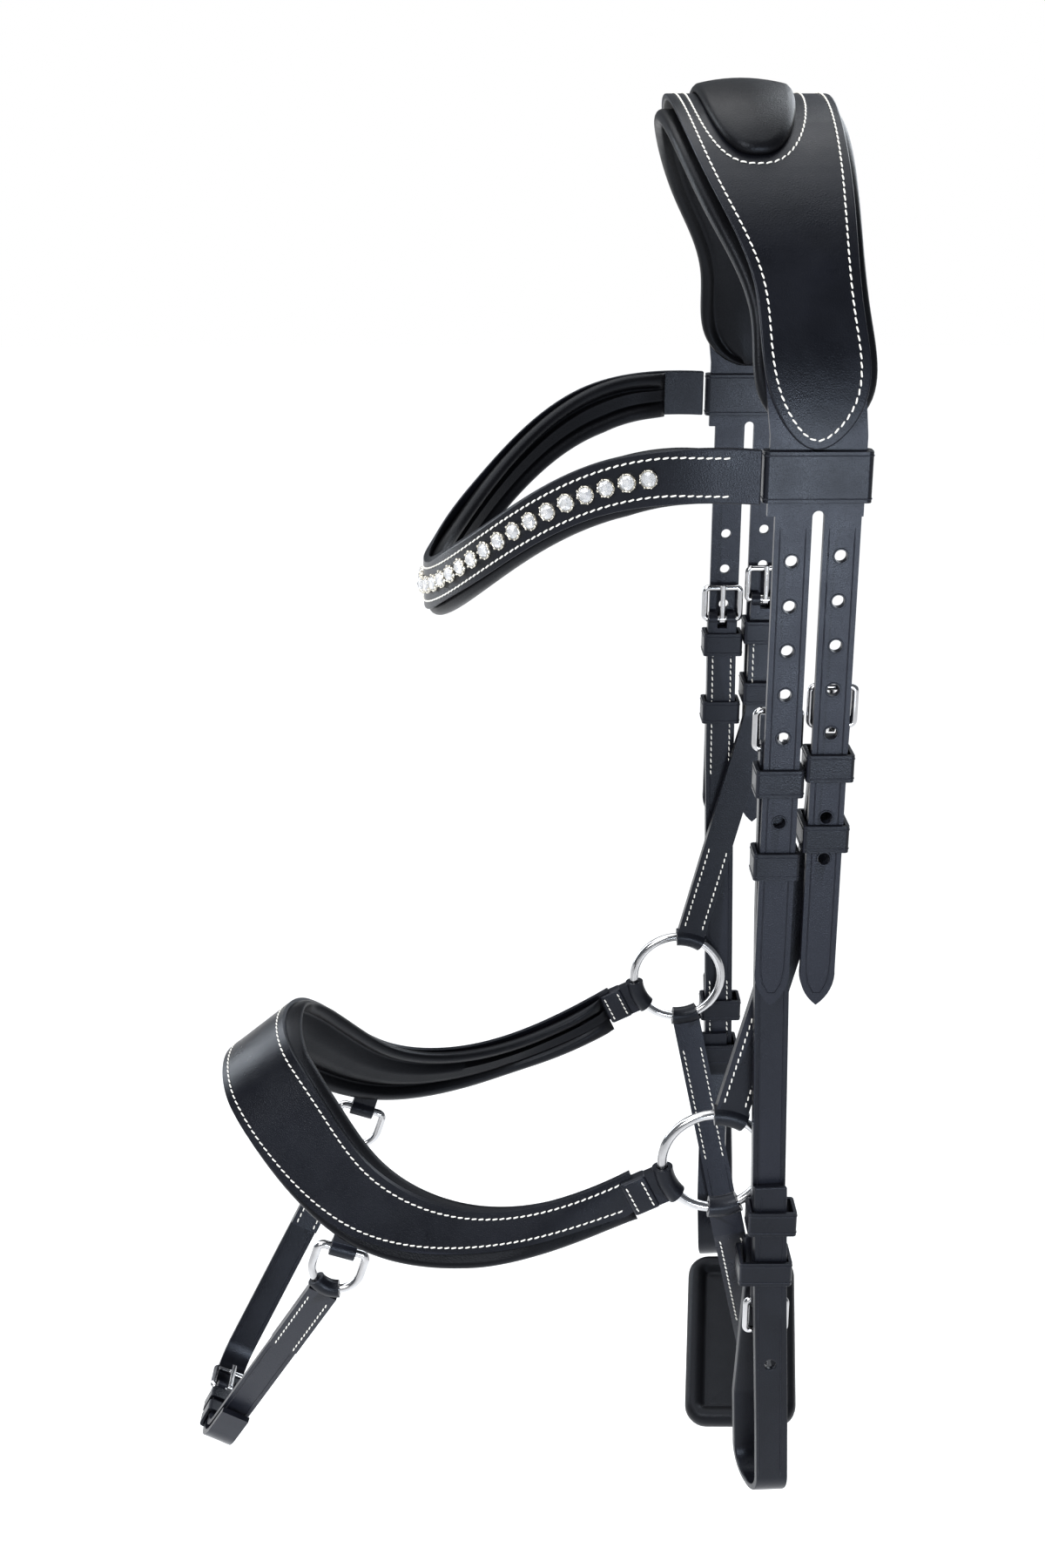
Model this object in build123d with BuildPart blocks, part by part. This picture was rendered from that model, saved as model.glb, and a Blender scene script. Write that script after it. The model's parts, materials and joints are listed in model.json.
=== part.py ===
from build123d import *
import os
from math import atan, cos, degrees, pi, radians, sin

# Snaffle bridle without bit or reins, hanging as it does when its headpiece rests on a horse's poll.
# Millimetres, +Z up. The horse faces -X and its left side is -Y. The origin is the middle of the poll
# seat, on the underside of the headpiece lining. Pieces of one side are drawn on the horse's left and
# mirrored for its right.

SIDES = ("left", "right")

# Leather
STRAP_T = 3.0  # single strap
PLY_T = 2.2  # one ply of a doubled strap
BILLET_W = 13.0
CHEEK_W = 13.0
NOSE_W = 13.0
HOLE_D = 4.4
HOLE_PITCH = 16.3
KEEPER_T = 1.5
KEEPER_W = 10.5
KEEPER_GAP = 0.35

# Headpiece: shells on half ellipses that spring from the cheeks at SPRING_Z
SPRING_Z = -100.0
SEAT = (91.5, 0.0)  # half width between the cheeks and height at the poll
CROWN_IN = (97.0, 5.5)
CROWN_OUT = (100.0, 8.5)
OVERLAY_OUT = (102.4, 10.9)
CUSHION_OUT = (107.5, 16.4)
FRONT_X = 7.3  # centre line of the front billet
REAR_X = 24.5  # centre line of the rear billet
SLIT_TOP_Z = -126.0
TIP_Z = -316.0

# Browband
BROW_FRONT_X = -126.0
BROW_ARCS = ((78.0, 22.0), (116.0, 64.0))  # radius and turn of each arc from the front
BROW_END = 16.0  # straight end after the arcs
BROW_T = 2.4
BROW_PAD_T = 6.0
BROW_HALF = 9.6  # half height
BROW_MID_Z = -144.0
BROW_DIP = 30.0  # half the drop from the loops to the forehead
BROW_DIP_RUN = 150.0  # length of strap over which it drops
LOOP_Z = (-123.0, -105.0)
LOOP_T = 2.0
CRYSTALS_EACH_SIDE = 18
CRYSTAL_PITCH = 7.6
CUP_D = 6.8
CRYSTAL_D = 5.6

# Cheekpieces and their hardware
CHEEK_MID = 93.4  # distance of the cheek buckles from the middle plane
CHEEK_T = 5.6
CHEEK_BUCKLE_X = 6.2
CHEEK_BAR_Z = -215.0
BIT_BAR_Z = -452.0
CHEEK_END_X = 12.4  # centre line at the bit buckle
WIRE_D = 2.8
FRAME_W = 16.0
FRAME_H = 14.4
FRAME_CORNER = 1.8
FOLD_W = 12.2
TONGUE_D = 2.2
BAR_BORE = 1.5  # radius of what turns on or wraps a buckle bar
FOLD_T = 1.6  # leather thinned where it folds round a bar
CHEEK_KEEPER_Z = (-226.5, -259.0)
BIT_KEEPER_Z = (-435.0, -412.0)
BIT_RUN_T = 2.8
BIT_LOOP_Z = -547.0
BIT_SWING = 2.5  # the loop hangs a little back from the cheekpiece

# Noseband rings
RING_X, RING_Y, RING_Z = -10.0, 86.0, -392.0
RING_R = 21.0
RING_WIRE_R = 2.0
WRAP_IN, WRAP_OUT = 2.35, 4.2  # leather wrapped round a ring
NOSE_ANGLE = 75.4
BAND_ANGLE = 206.0
JAW_TILT = 12.0  # the jaw strap hangs back from the vertical by this
NOSE_BUCKLE_X = 25.6
NOSE_BAR_Z = -206.0
NOSE_KEEPER_Z = (-220.5, -248.0)

# Noseband: a bow that leans back, so every level is the same bow set LEAN further back per unit of height
BAND_Z = -404.0
LEAN = 1.23
BAND_FRONT_X = -235.0
BAND_ARCS = ((34.0, 62.0), (150.0, 10.0))
BAND_STRAIGHT = 142.0
BAND_END_ARC = (60.0, 16.0)
BAND_END = 12.0
BAND_T = 2.4
BAND_PAD_T = 7.0
BAND_TOP = ((-191, -368), (-175, -384), (-150, -411.5), (-115, -422), (-75, -413.5), (-44, -397.5))
BAND_BOTTOM = ((-218, -390), (-199, -412.5), (-160, -438.5), (-124, -440.5), (-80, -429.5), (-37.3, -413.6))

# Rings and strap under the chin
D_X, D_Y, D_Z = -165.5, 60.0, -458.0  # centre of the round part of a D-ring
D_R = 10.5
D_WIRE_R = 1.8
D_TILT = -18.0
D_BAR = 9.5  # from the centre to the straight bar
TAB_W = 11.0
TAB_RISE = 9.0  # from the bar up to the end sewn into the noseband
CHIN_TILT = -28.0
CHIN_W = 13.0
CHIN_T = 2.6
CHIN_DEPTH = 131.0
CHIN_LAP = 4.8  # the billet lies this far outside the buckle strap
CHIN_BUCKLE_Y = 10.0
CHIN_KEEPER_W = 7.0
CHIN_KEEPER_Y = (3.0, -6.8)
CHIN_CORNERS = (-20.0, 32.0)
CHIN_BEND = 12.0

# Jaw strap, drawn hanging straight down below the noseband rings and then tilted
JAW_W = 13.0
JAW_PATH = ((-86.0, -23.4), (-84.2, -34.0), (-24.0, -191.0), (66.0, -143.0), (84.2, -34.0), (86.0, -23.4))
JAW_RADII = (30.0, 4.5, 7.0, 30.0)
PAD_L, PAD_W, PAD_T = 86.0, 52.0, 9.0
PAD_FORWARD = 5.0  # the pad's middle lies this far in front of the strap's
PAD_TURN = -11.0

FAR = 260.0  # longer than any cut needs


os.makedirs("parts", exist_ok=True)


def save(piece, name):
    piece.part.label = name
    export_step(piece.part, f"parts/{name}.step")


def arch(inner, outer):
    """Half-elliptic shell round the poll, with straight sides below its spring, through all of X."""
    with BuildPart() as shell:
        with BuildSketch(Plane.YZ):
            with BuildLine():
                arch_edges(outer)
            make_face()
            with BuildLine():
                arch_edges(inner)
            make_face(mode=Mode.SUBTRACT)
        extrude(amount=FAR, both=True)
    return shell.part


def arch_edges(size):
    half_width, top = size
    low = TIP_Z - 10
    Line((-half_width, low), (-half_width, SPRING_Z))
    EllipticalCenterArc((0, SPRING_Z), half_width, top - SPRING_Z, start_angle=0, arc_size=180)
    Line((half_width, SPRING_Z), (half_width, low))
    Line((half_width, low), (-half_width, low))


def billet_edges(x):
    """Side view of one billet with a pointed tip."""
    half = BILLET_W / 2
    top, point = SLIT_TOP_Z + 8, TIP_Z + 15
    Polyline((x - half, point), (x - half, top), (x + half, top), (x + half, point))
    ThreePointArc((x + half, point), (x + half * 0.72, TIP_Z + 5.5), (x, TIP_Z))
    ThreePointArc((x, TIP_Z), (x - half * 0.72, TIP_Z + 5.5), (x - half, point))


def slit_edges(x, half):
    """Cut between the two billets, with a round top."""
    low = SLIT_TOP_Z - 8
    Line((x - half, low), (x - half, SLIT_TOP_Z - half))
    ThreePointArc((x - half, SLIT_TOP_Z - half), (x, SLIT_TOP_Z), (x + half, SLIT_TOP_Z - half))
    Polyline((x + half, SLIT_TOP_Z - half), (x + half, low), (x - half, low))


def crown_strap():
    shell = arch(CROWN_IN, CROWN_OUT)
    with BuildPart() as strap:
        with BuildSketch(Plane.XZ):
            with BuildLine():
                Polyline((-2, SLIT_TOP_Z - 2), (-2, SPRING_Z), (-8, -50), (-22, 20), (25, 20), (27, -50),
                         (31.6, SPRING_Z), (31.6, SLIT_TOP_Z - 2), close=True)
            make_face()
            for x in (FRONT_X, REAR_X):
                with BuildLine():
                    billet_edges(x)
                make_face()
            with BuildLine():
                slit_edges((REAR_X + FRONT_X) / 2, (REAR_X - FRONT_X - BILLET_W) / 2)
            make_face(mode=Mode.SUBTRACT)
            for x, first_z, count in ((FRONT_X, -144.0, 7), (REAR_X, -142.0, 8)):
                with Locations(*[(x, first_z - i * HOLE_PITCH) for i in range(count)]):
                    Circle(HOLE_D / 2, mode=Mode.SUBTRACT)
        extrude(amount=FAR, both=True)
        add(shell, mode=Mode.INTERSECT)
    save(strap, "crown_strap")


def headpiece_cover(name, inner, outer, front, tip, rear):
    """Shaped layer of the headpiece: its shell cut to the side view given by front and rear edges."""
    shell = arch(inner, outer)
    with BuildPart() as cover:
        with BuildSketch(Plane.XZ):
            with BuildLine():
                Spline(*front, *tip, *rear)
                Line(rear[-1], front[0])
            make_face()
        extrude(amount=FAR, both=True)
        add(shell, mode=Mode.INTERSECT)
    save(cover, name)


def poll_cushion():
    shell = arch(OVERLAY_OUT, CUSHION_OUT)
    with BuildPart() as cushion:
        with BuildSketch(Plane.XY):
            with Locations((-5, 0)):
                Ellipse(17.5, 60)
        extrude(amount=60, both=True)
        add(shell, mode=Mode.INTERSECT)
    save(cushion, "poll_cushion")


def bow_line(front_x, inset, arcs, straight, end_arc, end):
    """Left half of a bow seen from above: arcs from its front, a straight flank and a straight end."""
    heading = -90.0
    at = Vector(front_x + inset, 0)
    chain = []
    for radius, turn in arcs:
        chain.append(JernArc(at, Vector(1, 0).rotate(Axis.Z, heading), radius - inset, turn))
        at = chain[-1] @ 1
        heading += turn
    for length, radius, turn in ((straight, *end_arc), (end, 0, 0)):
        if length:
            chain.append(Line(at, at + Vector(length, 0).rotate(Axis.Z, heading)))
            at = chain[-1] @ 1
        if turn:
            chain.append(JernArc(at, Vector(1, 0).rotate(Axis.Z, heading), radius - inset, turn))
            at = chain[-1] @ 1
            heading += turn
    return chain


def bow_sketch(plane, front_x, near, deep, arcs, straight, end_arc, end):
    """Plan of a bow between two depths behind its outer face."""
    with BuildSketch(plane) as plan:
        with BuildLine():
            outer = bow_line(front_x, near, arcs, straight, end_arc, end)
            inner = bow_line(front_x, deep, arcs, straight, end_arc, end)
            Line(outer[-1] @ 1, inner[-1] @ 1)
            Line(inner[0] @ 0, outer[0] @ 0)
        make_face()
        mirror(about=Plane.XZ)
    return plan.sketch


def brow_point(s):
    """X, Y, Z and heading of the browband's outer face at s along it from the middle of its front."""
    heading, x, y, left = 0.0, BROW_FRONT_X, 0.0, abs(s)
    for radius, turn in (*BROW_ARCS, (1e6, 1e-3)):
        run = min(left, radians(turn) * radius)
        a, b = radians(heading), radians(heading) + run / radius
        x += radius * (cos(a) - cos(b))
        y += radius * (sin(b) - sin(a))
        heading = degrees(b)
        left -= run
    z = BROW_MID_Z - BROW_DIP * cos(pi * min(abs(s), BROW_DIP_RUN) / BROW_DIP_RUN)
    return x, (y if s > 0 else -y), z, heading


def browband(name, near, deep, raised, dropped, end_x):
    plan = bow_sketch(Plane.XY, BROW_FRONT_X, near, deep, BROW_ARCS, 0, (0, 0), BROW_END)
    stations = [brow_point(s) for s in (8, 30, 60, 90, 120, 150)]
    above, below = BROW_HALF + raised, BROW_HALF + dropped
    top = [(BROW_FRONT_X - 6, BROW_MID_Z - BROW_DIP + above)]
    low = [(BROW_FRONT_X - 6, BROW_MID_Z - BROW_DIP - below)]
    for x, _, z, _ in stations:
        top.append((x, z + above))
        low.append((x, z - below))
    top.append((end_x, BROW_MID_Z + BROW_DIP + above))
    low.append((end_x, BROW_MID_Z + BROW_DIP - below))
    with BuildPart() as band:
        with BuildSketch(Plane.XZ):
            with BuildLine():
                Spline(*top)
                Line(top[-1], low[-1])
                Spline(*low)
                Line(low[0], top[0])
            make_face()
        extrude(amount=FAR, both=True)
        with BuildSketch(Plane.XY):
            add(plan)
        extrude(amount=FAR, both=True, mode=Mode.INTERSECT)
    save(band, name)


def browband_loop(side):
    """Flat sleeve at a browband end, through which both billets pass."""
    inner_x = (FRONT_X - BILLET_W / 2 - 2.9, REAR_X + BILLET_W / 2 + 0.9)
    inner_y = (CROWN_IN[0] - 0.4, CROWN_OUT[0] + 0.4)
    with BuildPart() as loop:
        with BuildSketch(Plane.XY.offset(LOOP_Z[0])):
            middle = (sum(inner_x) / 2, -sum(inner_y) / 2)
            length, depth = inner_x[1] - inner_x[0], inner_y[1] - inner_y[0]
            with Locations(middle):
                RectangleRounded(length + 2 * LOOP_T, depth + 2 * LOOP_T, LOOP_T)
                Rectangle(length, depth, mode=Mode.SUBTRACT)
        extrude(amount=LOOP_Z[1] - LOOP_Z[0])
        if side == "right":
            mirror(about=Plane.XZ, mode=Mode.REPLACE)
    save(loop, f"browband_loop_{side}")


def crystal_row():
    seats = []
    for i in range(-CRYSTALS_EACH_SIDE, CRYSTALS_EACH_SIDE + 1):
        x, y, z, heading = brow_point(i * CRYSTAL_PITCH)
        outward = Vector(-cos(radians(heading)), sin(radians(heading)) * (1 if i > 0 else -1), 0)
        seats.append(Plane(origin=(x, y, z), z_dir=outward))
    with BuildPart() as cups:
        with BuildSketch(*seats):
            Circle(CUP_D / 2)
        extrude(amount=1.4)
    save(cups, "crystal_cups")
    with BuildPart() as crystals:
        with BuildSketch(*[seat.offset(1.4) for seat in seats]):
            Circle(CRYSTAL_D / 2)
        extrude(amount=1.6, taper=30)
    save(crystals, "crystals")


def centre_line(points, radius):
    if len(points) == 2:
        Line(*points)
    else:
        FilletPolyline(*points, radius=radius)


def ribbon(side_points, side_radius, width, edge_points, edge_radius, thickness):
    """Strap given by two centre lines: one in side view and one seen from the front."""
    with BuildPart() as strap:
        with BuildSketch(Plane.XZ):
            with BuildLine():
                centre_line(side_points, side_radius)
            trace(line_width=width)
        extrude(amount=FAR, both=True)
        with BuildSketch(Plane.YZ):
            with BuildLine():
                centre_line(edge_points, edge_radius)
            trace(line_width=thickness)
        extrude(amount=FAR, both=True, mode=Mode.INTERSECT)
    return strap.part


def side_seat(x, z, up):
    """Plane of a left cheek buckle: X along its bar, Y from the bar across the frame, Z to the horse."""
    return Plane(origin=(x, -CHEEK_MID, z), x_dir=(-up, 0, 0), z_dir=(0, 1, 0))


def across_bar(seat, start):
    return Plane(origin=seat.origin + seat.x_dir * start, x_dir=seat.y_dir, z_dir=seat.x_dir)


def bar_fold(seat):
    """Leather folded round a buckle bar."""
    with BuildPart() as fold:
        with BuildSketch(across_bar(seat, -FOLD_W / 2)):
            Circle(BAR_BORE + FOLD_T)
        extrude(amount=FOLD_W)
    return fold.part


def bar_space(seat):
    """What a fold leaves free: the bore for the bar and the slot for the tongue."""
    with BuildPart() as space:
        with BuildSketch(across_bar(seat, -CHEEK_W)):
            Circle(BAR_BORE)
        extrude(amount=2 * CHEEK_W)
        with BuildSketch(seat.offset(-CHEEK_W)):
            with Locations((0, 1.5)):
                Rectangle(TONGUE_D + 2.2, 11)
        extrude(amount=2 * CHEEK_W)
    return space.part


def buckle(name, seat, side=""):
    """Single-bar buckle: its frame, and the tongue that turns on the bar."""
    with BuildPart() as frame:
        with BuildLine(seat) as outline:
            half = FRAME_W / 2
            corners = ((-half, 0), (-half, FRAME_H), (half, FRAME_H), (half, 0))
            FilletPolyline(*corners, radius=FRAME_CORNER, close=True)
        with BuildSketch(Plane(origin=seat.origin + seat.y_dir * FRAME_H, z_dir=seat.x_dir)):
            Circle(WIRE_D / 2)
        sweep(path=outline.wires()[0])
        if side == "right":
            mirror(about=Plane.XZ, mode=Mode.REPLACE)
    save(frame, f"{name}_buckle_frame{'_' + side if side else ''}")
    lift = WIRE_D / 2 + TONGUE_D / 2 + 0.15
    with BuildPart() as tongue:
        with BuildSketch(across_bar(seat, -TONGUE_D / 2)):
            Circle(BAR_BORE + 1.2)
        extrude(amount=TONGUE_D)
        with BuildSketch(Plane(origin=seat.origin + seat.z_dir * lift + seat.y_dir * 0.6, z_dir=seat.y_dir)):
            Circle(TONGUE_D / 2)
        extrude(amount=FRAME_H + 1)
        with BuildSketch(across_bar(seat, -TONGUE_D)):
            Circle(BAR_BORE)
        extrude(amount=2 * TONGUE_D, mode=Mode.SUBTRACT)
        if side == "right":
            mirror(about=Plane.XZ, mode=Mode.REPLACE)
    save(tongue, f"{name}_buckle_tongue{'_' + side if side else ''}")


def keeper(name, side, x, z, inner_y, outer_y, width=BILLET_W, height=KEEPER_W):
    """Leather sleeve that holds a strap end down."""
    space_x = width + 2 * KEEPER_GAP
    space_y = outer_y - inner_y + 2 * KEEPER_GAP
    with BuildPart() as sleeve:
        with BuildSketch(Plane.XY.offset(z - height / 2)):
            with Locations((x, -(inner_y + outer_y) / 2)):
                RectangleRounded(space_x + 2 * KEEPER_T, space_y + 2 * KEEPER_T, KEEPER_T)
                Rectangle(space_x, space_y, mode=Mode.SUBTRACT)
        extrude(amount=height)
        if side == "right":
            mirror(about=Plane.XZ, mode=Mode.REPLACE)
    save(sleeve, f"{name}_{side}")


def cheekpiece(side):
    bend_z = CHEEK_BAR_Z - 66
    path = ((CHEEK_BUCKLE_X, CHEEK_BAR_Z), (FRONT_X, bend_z), (CHEEK_END_X, BIT_BAR_Z))
    edge = ((-CHEEK_MID, CHEEK_BAR_Z), (-CHEEK_MID, BIT_BAR_Z))
    body = ribbon(path, 200, CHEEK_W, edge, 0, CHEEK_T)
    seats = (side_seat(CHEEK_BUCKLE_X, CHEEK_BAR_Z, 1), side_seat(CHEEK_END_X, BIT_BAR_Z, -1))
    folds, spaces = [bar_fold(seat) for seat in seats], [bar_space(seat) for seat in seats]
    with BuildPart() as strap:
        add(body)
        add(folds)
        add(spaces, mode=Mode.SUBTRACT)
        if side == "right":
            mirror(about=Plane.XZ, mode=Mode.REPLACE)
    save(strap, f"cheekpiece_{side}")


def bit_strap(side):
    """Strap end that carries the bit: down inside, round the bit's ring, up outside and through keepers."""
    outer = CHEEK_MID + CHEEK_T / 2 + 0.9 + BIT_RUN_T / 2
    inner = CHEEK_MID - CHEEK_T / 2 - BIT_RUN_T / 2
    deep = inner - 12
    turn = (outer + 1 + deep) / 2
    path = ((-inner, -424), (-inner, -446), (-deep, -508), (-deep, BIT_LOOP_Z + BIT_RUN_T / 2),
            (-outer - 1, BIT_LOOP_Z + BIT_RUN_T / 2), (-outer - 1, -508), (-outer, -455), (-outer, -396))
    radius = outer + 1 - turn - 0.4
    across = Vector(-0.30, 1, 0).normalized()
    with BuildPart() as run:
        plane = Plane(origin=(CHEEK_END_X - CHEEK_W / 2, -outer, 0), x_dir=across,
                      z_dir=across.cross(Vector(0, 0, 1)))
        scale = 1 / across.Y
        local = [((y + outer) * scale, z) for y, z in path]
        with BuildSketch(plane):
            with BuildLine():
                FilletPolyline(*local, radius=(12, 12, radius, radius, 12, 12))
            trace(line_width=BIT_RUN_T)
        extrude(amount=CHEEK_W, dir=(1, 0, 0))
        with BuildSketch(Plane.XZ.offset(outer - 8)):
            with Locations((CHEEK_END_X, -479)):
                Circle(HOLE_D / 2)
        extrude(amount=20, mode=Mode.SUBTRACT)
    swung = run.part.rotate(Axis((CHEEK_END_X, 0, BIT_KEEPER_Z[0]), (0, -1, 0)), BIT_SWING)
    with BuildPart() as strap:
        add(swung)
        if side == "right":
            mirror(about=Plane.XZ, mode=Mode.REPLACE)
    save(strap, f"bit_strap_{side}")


def ring_wrap(centre, radius, angle, width, inner=WRAP_IN, outer=WRAP_OUT):
    """Leather wrapped round a ring's wire: a piece of a hollow torus about the ring's own axis."""
    half = degrees(atan(width / 2 / radius))
    start = radians(angle - half)
    out = Vector(cos(start), 0, sin(start))
    with BuildPart() as wrap:
        with BuildSketch(Plane(origin=centre, x_dir=out, z_dir=out.cross(Vector(0, 1, 0)))):
            with Locations((radius, 0)):
                Circle(outer)
                Circle(inner, mode=Mode.SUBTRACT)
        revolve(axis=Axis(centre, (0, -1, 0)), revolution_arc=2 * half)
    return wrap.part


def radial_plate(centre, angle, start, end, width, thickness):
    """Flat strap end that leaves a ring along one of its radii."""
    out = Vector(cos(radians(angle)), 0, sin(radians(angle)))
    with BuildPart() as plate:
        with BuildSketch(Plane(origin=Vector(centre) + out * (start + end) / 2, x_dir=out, z_dir=(0, -1, 0))):
            Rectangle(end - start, width)
        extrude(amount=thickness / 2, both=True)
    return plate.part


def noseband_ring(side):
    with BuildPart() as ring:
        with BuildSketch(Plane(origin=(RING_X, -RING_Y, RING_Z), x_dir=(1, 0, 0), z_dir=(0, 0, 1))):
            with Locations((RING_R, 0)):
                Circle(RING_WIRE_R)
        revolve(axis=Axis((RING_X, -RING_Y, RING_Z), (0, 1, 0)))
        if side == "right":
            mirror(about=Plane.XZ, mode=Mode.REPLACE)
    save(ring, f"noseband_ring_{side}")


def nose_cheek_strap(side):
    centre = (RING_X, -RING_Y, RING_Z)
    out = Vector(cos(radians(NOSE_ANGLE)), 0, sin(radians(NOSE_ANGLE)))
    foot = Vector(centre) + out * (RING_R + 2.4)
    path = ((NOSE_BUCKLE_X, NOSE_BAR_Z), (REAR_X, -256), (foot.X, foot.Z))
    edge = ((-CHEEK_MID, NOSE_BAR_Z), (-CHEEK_MID, -216), (-86.1, -258), (-RING_Y, foot.Z - 6))
    body = ribbon(path, 40, NOSE_W, edge, (30, 30), 2 * PLY_T)
    wrap = ring_wrap(centre, RING_R, NOSE_ANGLE, NOSE_W)
    seat = side_seat(NOSE_BUCKLE_X, NOSE_BAR_Z, 1)
    fold, space = bar_fold(seat), bar_space(seat)
    with BuildPart() as strap:
        add(body)
        add(wrap)
        add(fold)
        add(space, mode=Mode.SUBTRACT)
        if side == "right":
            mirror(about=Plane.XZ, mode=Mode.REPLACE)
    save(strap, f"nose_cheek_strap_{side}")


def noseband_body(name, near, deep, raised, dropped, end_x, pockets=()):
    """Layer of the noseband: the leaning bow cut to its side view and clear of the ring tabs sewn in it."""
    plan = bow_sketch(Plane.XY.offset(BAND_Z), BAND_FRONT_X, near, deep, BAND_ARCS, BAND_STRAIGHT,
                      BAND_END_ARC, BAND_END)
    rise = Vector(LEAN, 0, 1).normalized()
    top = [(x + near, z + raised) for x, z in BAND_TOP]
    low = [(x + near, z - dropped) for x, z in BAND_BOTTOM]
    with BuildPart() as band:
        for direction in (rise, -rise):
            extrude(plan, amount=90, dir=direction)
        with BuildSketch(Plane.XZ):
            with BuildLine():
                Spline(*top)
                Line(top[-1], low[-1])
                Spline(*low)
                Polyline(low[0], (low[0][0] - 12, low[0][1] + 8), (top[0][0] - 14, top[0][1] + 12), top[0])
            make_face()
        extrude(amount=FAR, both=True, mode=Mode.INTERSECT)
        with Locations(((end_x - FAR) / 2, 0, BAND_Z)):
            Box(FAR + end_x, 2 * FAR, FAR, mode=Mode.INTERSECT)
        for pocket in pockets:
            add(pocket, mode=Mode.SUBTRACT)
            mirror(pocket, about=Plane.XZ, mode=Mode.SUBTRACT)
    save(band, name)


def noseband_end_loop(side):
    centre = (RING_X, -RING_Y, RING_Z)
    wrap = ring_wrap(centre, RING_R, BAND_ANGLE, 15)
    plate = radial_plate(centre, BAND_ANGLE, RING_R + 2.4, RING_R + 12, 15, 2 * PLY_T)
    with BuildPart() as loop:
        add(wrap)
        add(plate)
        if side == "right":
            mirror(about=Plane.XZ, mode=Mode.REPLACE)
    save(loop, f"noseband_end_loop_{side}")


def d_ring(side):
    tilt = radians(D_TILT)
    along = Vector(cos(tilt), 0, sin(tilt))
    down = Vector(sin(tilt), 0, -cos(tilt))
    centre = Vector(D_X, -D_Y, D_Z)
    corner = [centre + along * (D_R * s) - down * D_BAR for s in (-1, 1)]
    bend = [centre + along * (D_R * s) - down * 3 for s in (-1, 1)]
    with BuildPart() as ring:
        with BuildLine() as outline:
            start = centre - down * D_BAR
            FilletPolyline(start, corner[1], bend[1], radius=2.6)
            Line(bend[1], centre + along * D_R)
            ThreePointArc(centre + along * D_R, centre + down * D_R, centre - along * D_R)
            Line(centre - along * D_R, bend[0])
            FilletPolyline(bend[0], corner[0], start, radius=2.6)
        with BuildSketch(Plane(origin=start, x_dir=(0, 1, 0), z_dir=along)):
            Circle(D_WIRE_R)
        sweep(path=outline.wires()[0])
        if side == "right":
            mirror(about=Plane.XZ, mode=Mode.REPLACE)
    save(ring, f"chin_ring_{side}")


def d_ring_tab_body(bore):
    """Short leather tab sewn into the noseband's lower edge and folded round a D-ring's straight bar."""
    tilt = radians(D_TILT)
    along = Vector(cos(tilt), 0, sin(tilt))
    bar = Vector(D_X, -D_Y, D_Z) + Vector(-sin(tilt), 0, cos(tilt)) * D_BAR
    with BuildPart() as tab:
        with BuildSketch(Plane(origin=bar - along * TAB_W / 2, x_dir=(0, 1, 0), z_dir=along)):
            Circle(WRAP_OUT - 0.4)
            with Locations((0, TAB_RISE / 2)):
                Rectangle(3.6, TAB_RISE)
            if bore:
                Circle(bore, mode=Mode.SUBTRACT)
        extrude(amount=TAB_W)
    return tab.part


def d_ring_tab(side):
    with BuildPart() as tab:
        add(d_ring_tab_body(D_WIRE_R + 0.3))
        if side == "right":
            mirror(about=Plane.XZ, mode=Mode.REPLACE)
    save(tab, f"chin_ring_tab_{side}")


def sling_plane(x, z, tilt):
    """Plane seen from behind, through a left-right axis, in which a strap hangs at a tilt."""
    return Plane(origin=(x, 0, z), x_dir=(0, 1, 0), z_dir=(cos(radians(tilt)), 0, sin(radians(tilt))))


def sling(plane, path, radii, width, thickness):
    with BuildPart() as strap:
        with BuildSketch(plane):
            with BuildLine():
                centre_line(path, radii)
            trace(line_width=thickness)
        extrude(amount=width / 2, both=True)
    return strap.part


def jaw_strap():
    plane = sling_plane(RING_X, RING_Z, JAW_TILT)
    parts = [sling(plane, JAW_PATH, JAW_RADII, JAW_W, STRAP_T)]
    for sign in (-1, 1):
        parts.append(ring_wrap((RING_X, sign * RING_Y, RING_Z), RING_R, JAW_TILT - 90, JAW_W))
        doubled = (JAW_PATH[0], JAW_PATH[1]) if sign < 0 else (JAW_PATH[-1], JAW_PATH[-2])
        parts.append(sling(plane, doubled, 0, JAW_W, 2 * PLY_T))
    with BuildPart() as strap:
        for part in parts:
            add(part)
    save(strap, "jaw_strap")


def jaw_pad():
    """Padded rest that lies on the inside of the jaw strap, nearer its right end."""
    plane = sling_plane(RING_X, RING_Z, JAW_TILT)
    low, high = Vector(*JAW_PATH[2]), Vector(*JAW_PATH[3])
    along, middle = (high - low).normalized(), (low + high) / 2
    slope = plane.x_dir * along.X + plane.y_dir * along.Y
    up = plane.z_dir.cross(slope)
    seat = Plane(origin=plane.from_local_coords((middle.X, middle.Y, -PAD_FORWARD)) + up * STRAP_T / 2,
                 x_dir=slope, z_dir=up)
    with BuildPart() as pad:
        with BuildSketch(seat):
            RectangleRounded(PAD_L, PAD_W, 9, rotation=PAD_TURN)
        extrude(amount=PAD_T)
        fillet(pad.faces().sort_by(Axis(seat.origin, up))[-1].edges(), PAD_T * 0.4)
    save(pad, "jaw_pad")


def chin_plate(plane, sign):
    """Doubled strap end at a chin ring."""
    start, corner = Vector(sign * D_Y, -D_R - 2.2), Vector(CHIN_CORNERS[sign > 0], -CHIN_DEPTH)
    end = start + (corner - start).normalized() * 45
    return sling(plane, (start, end), 0, CHIN_W, 2 * PLY_T)


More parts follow.
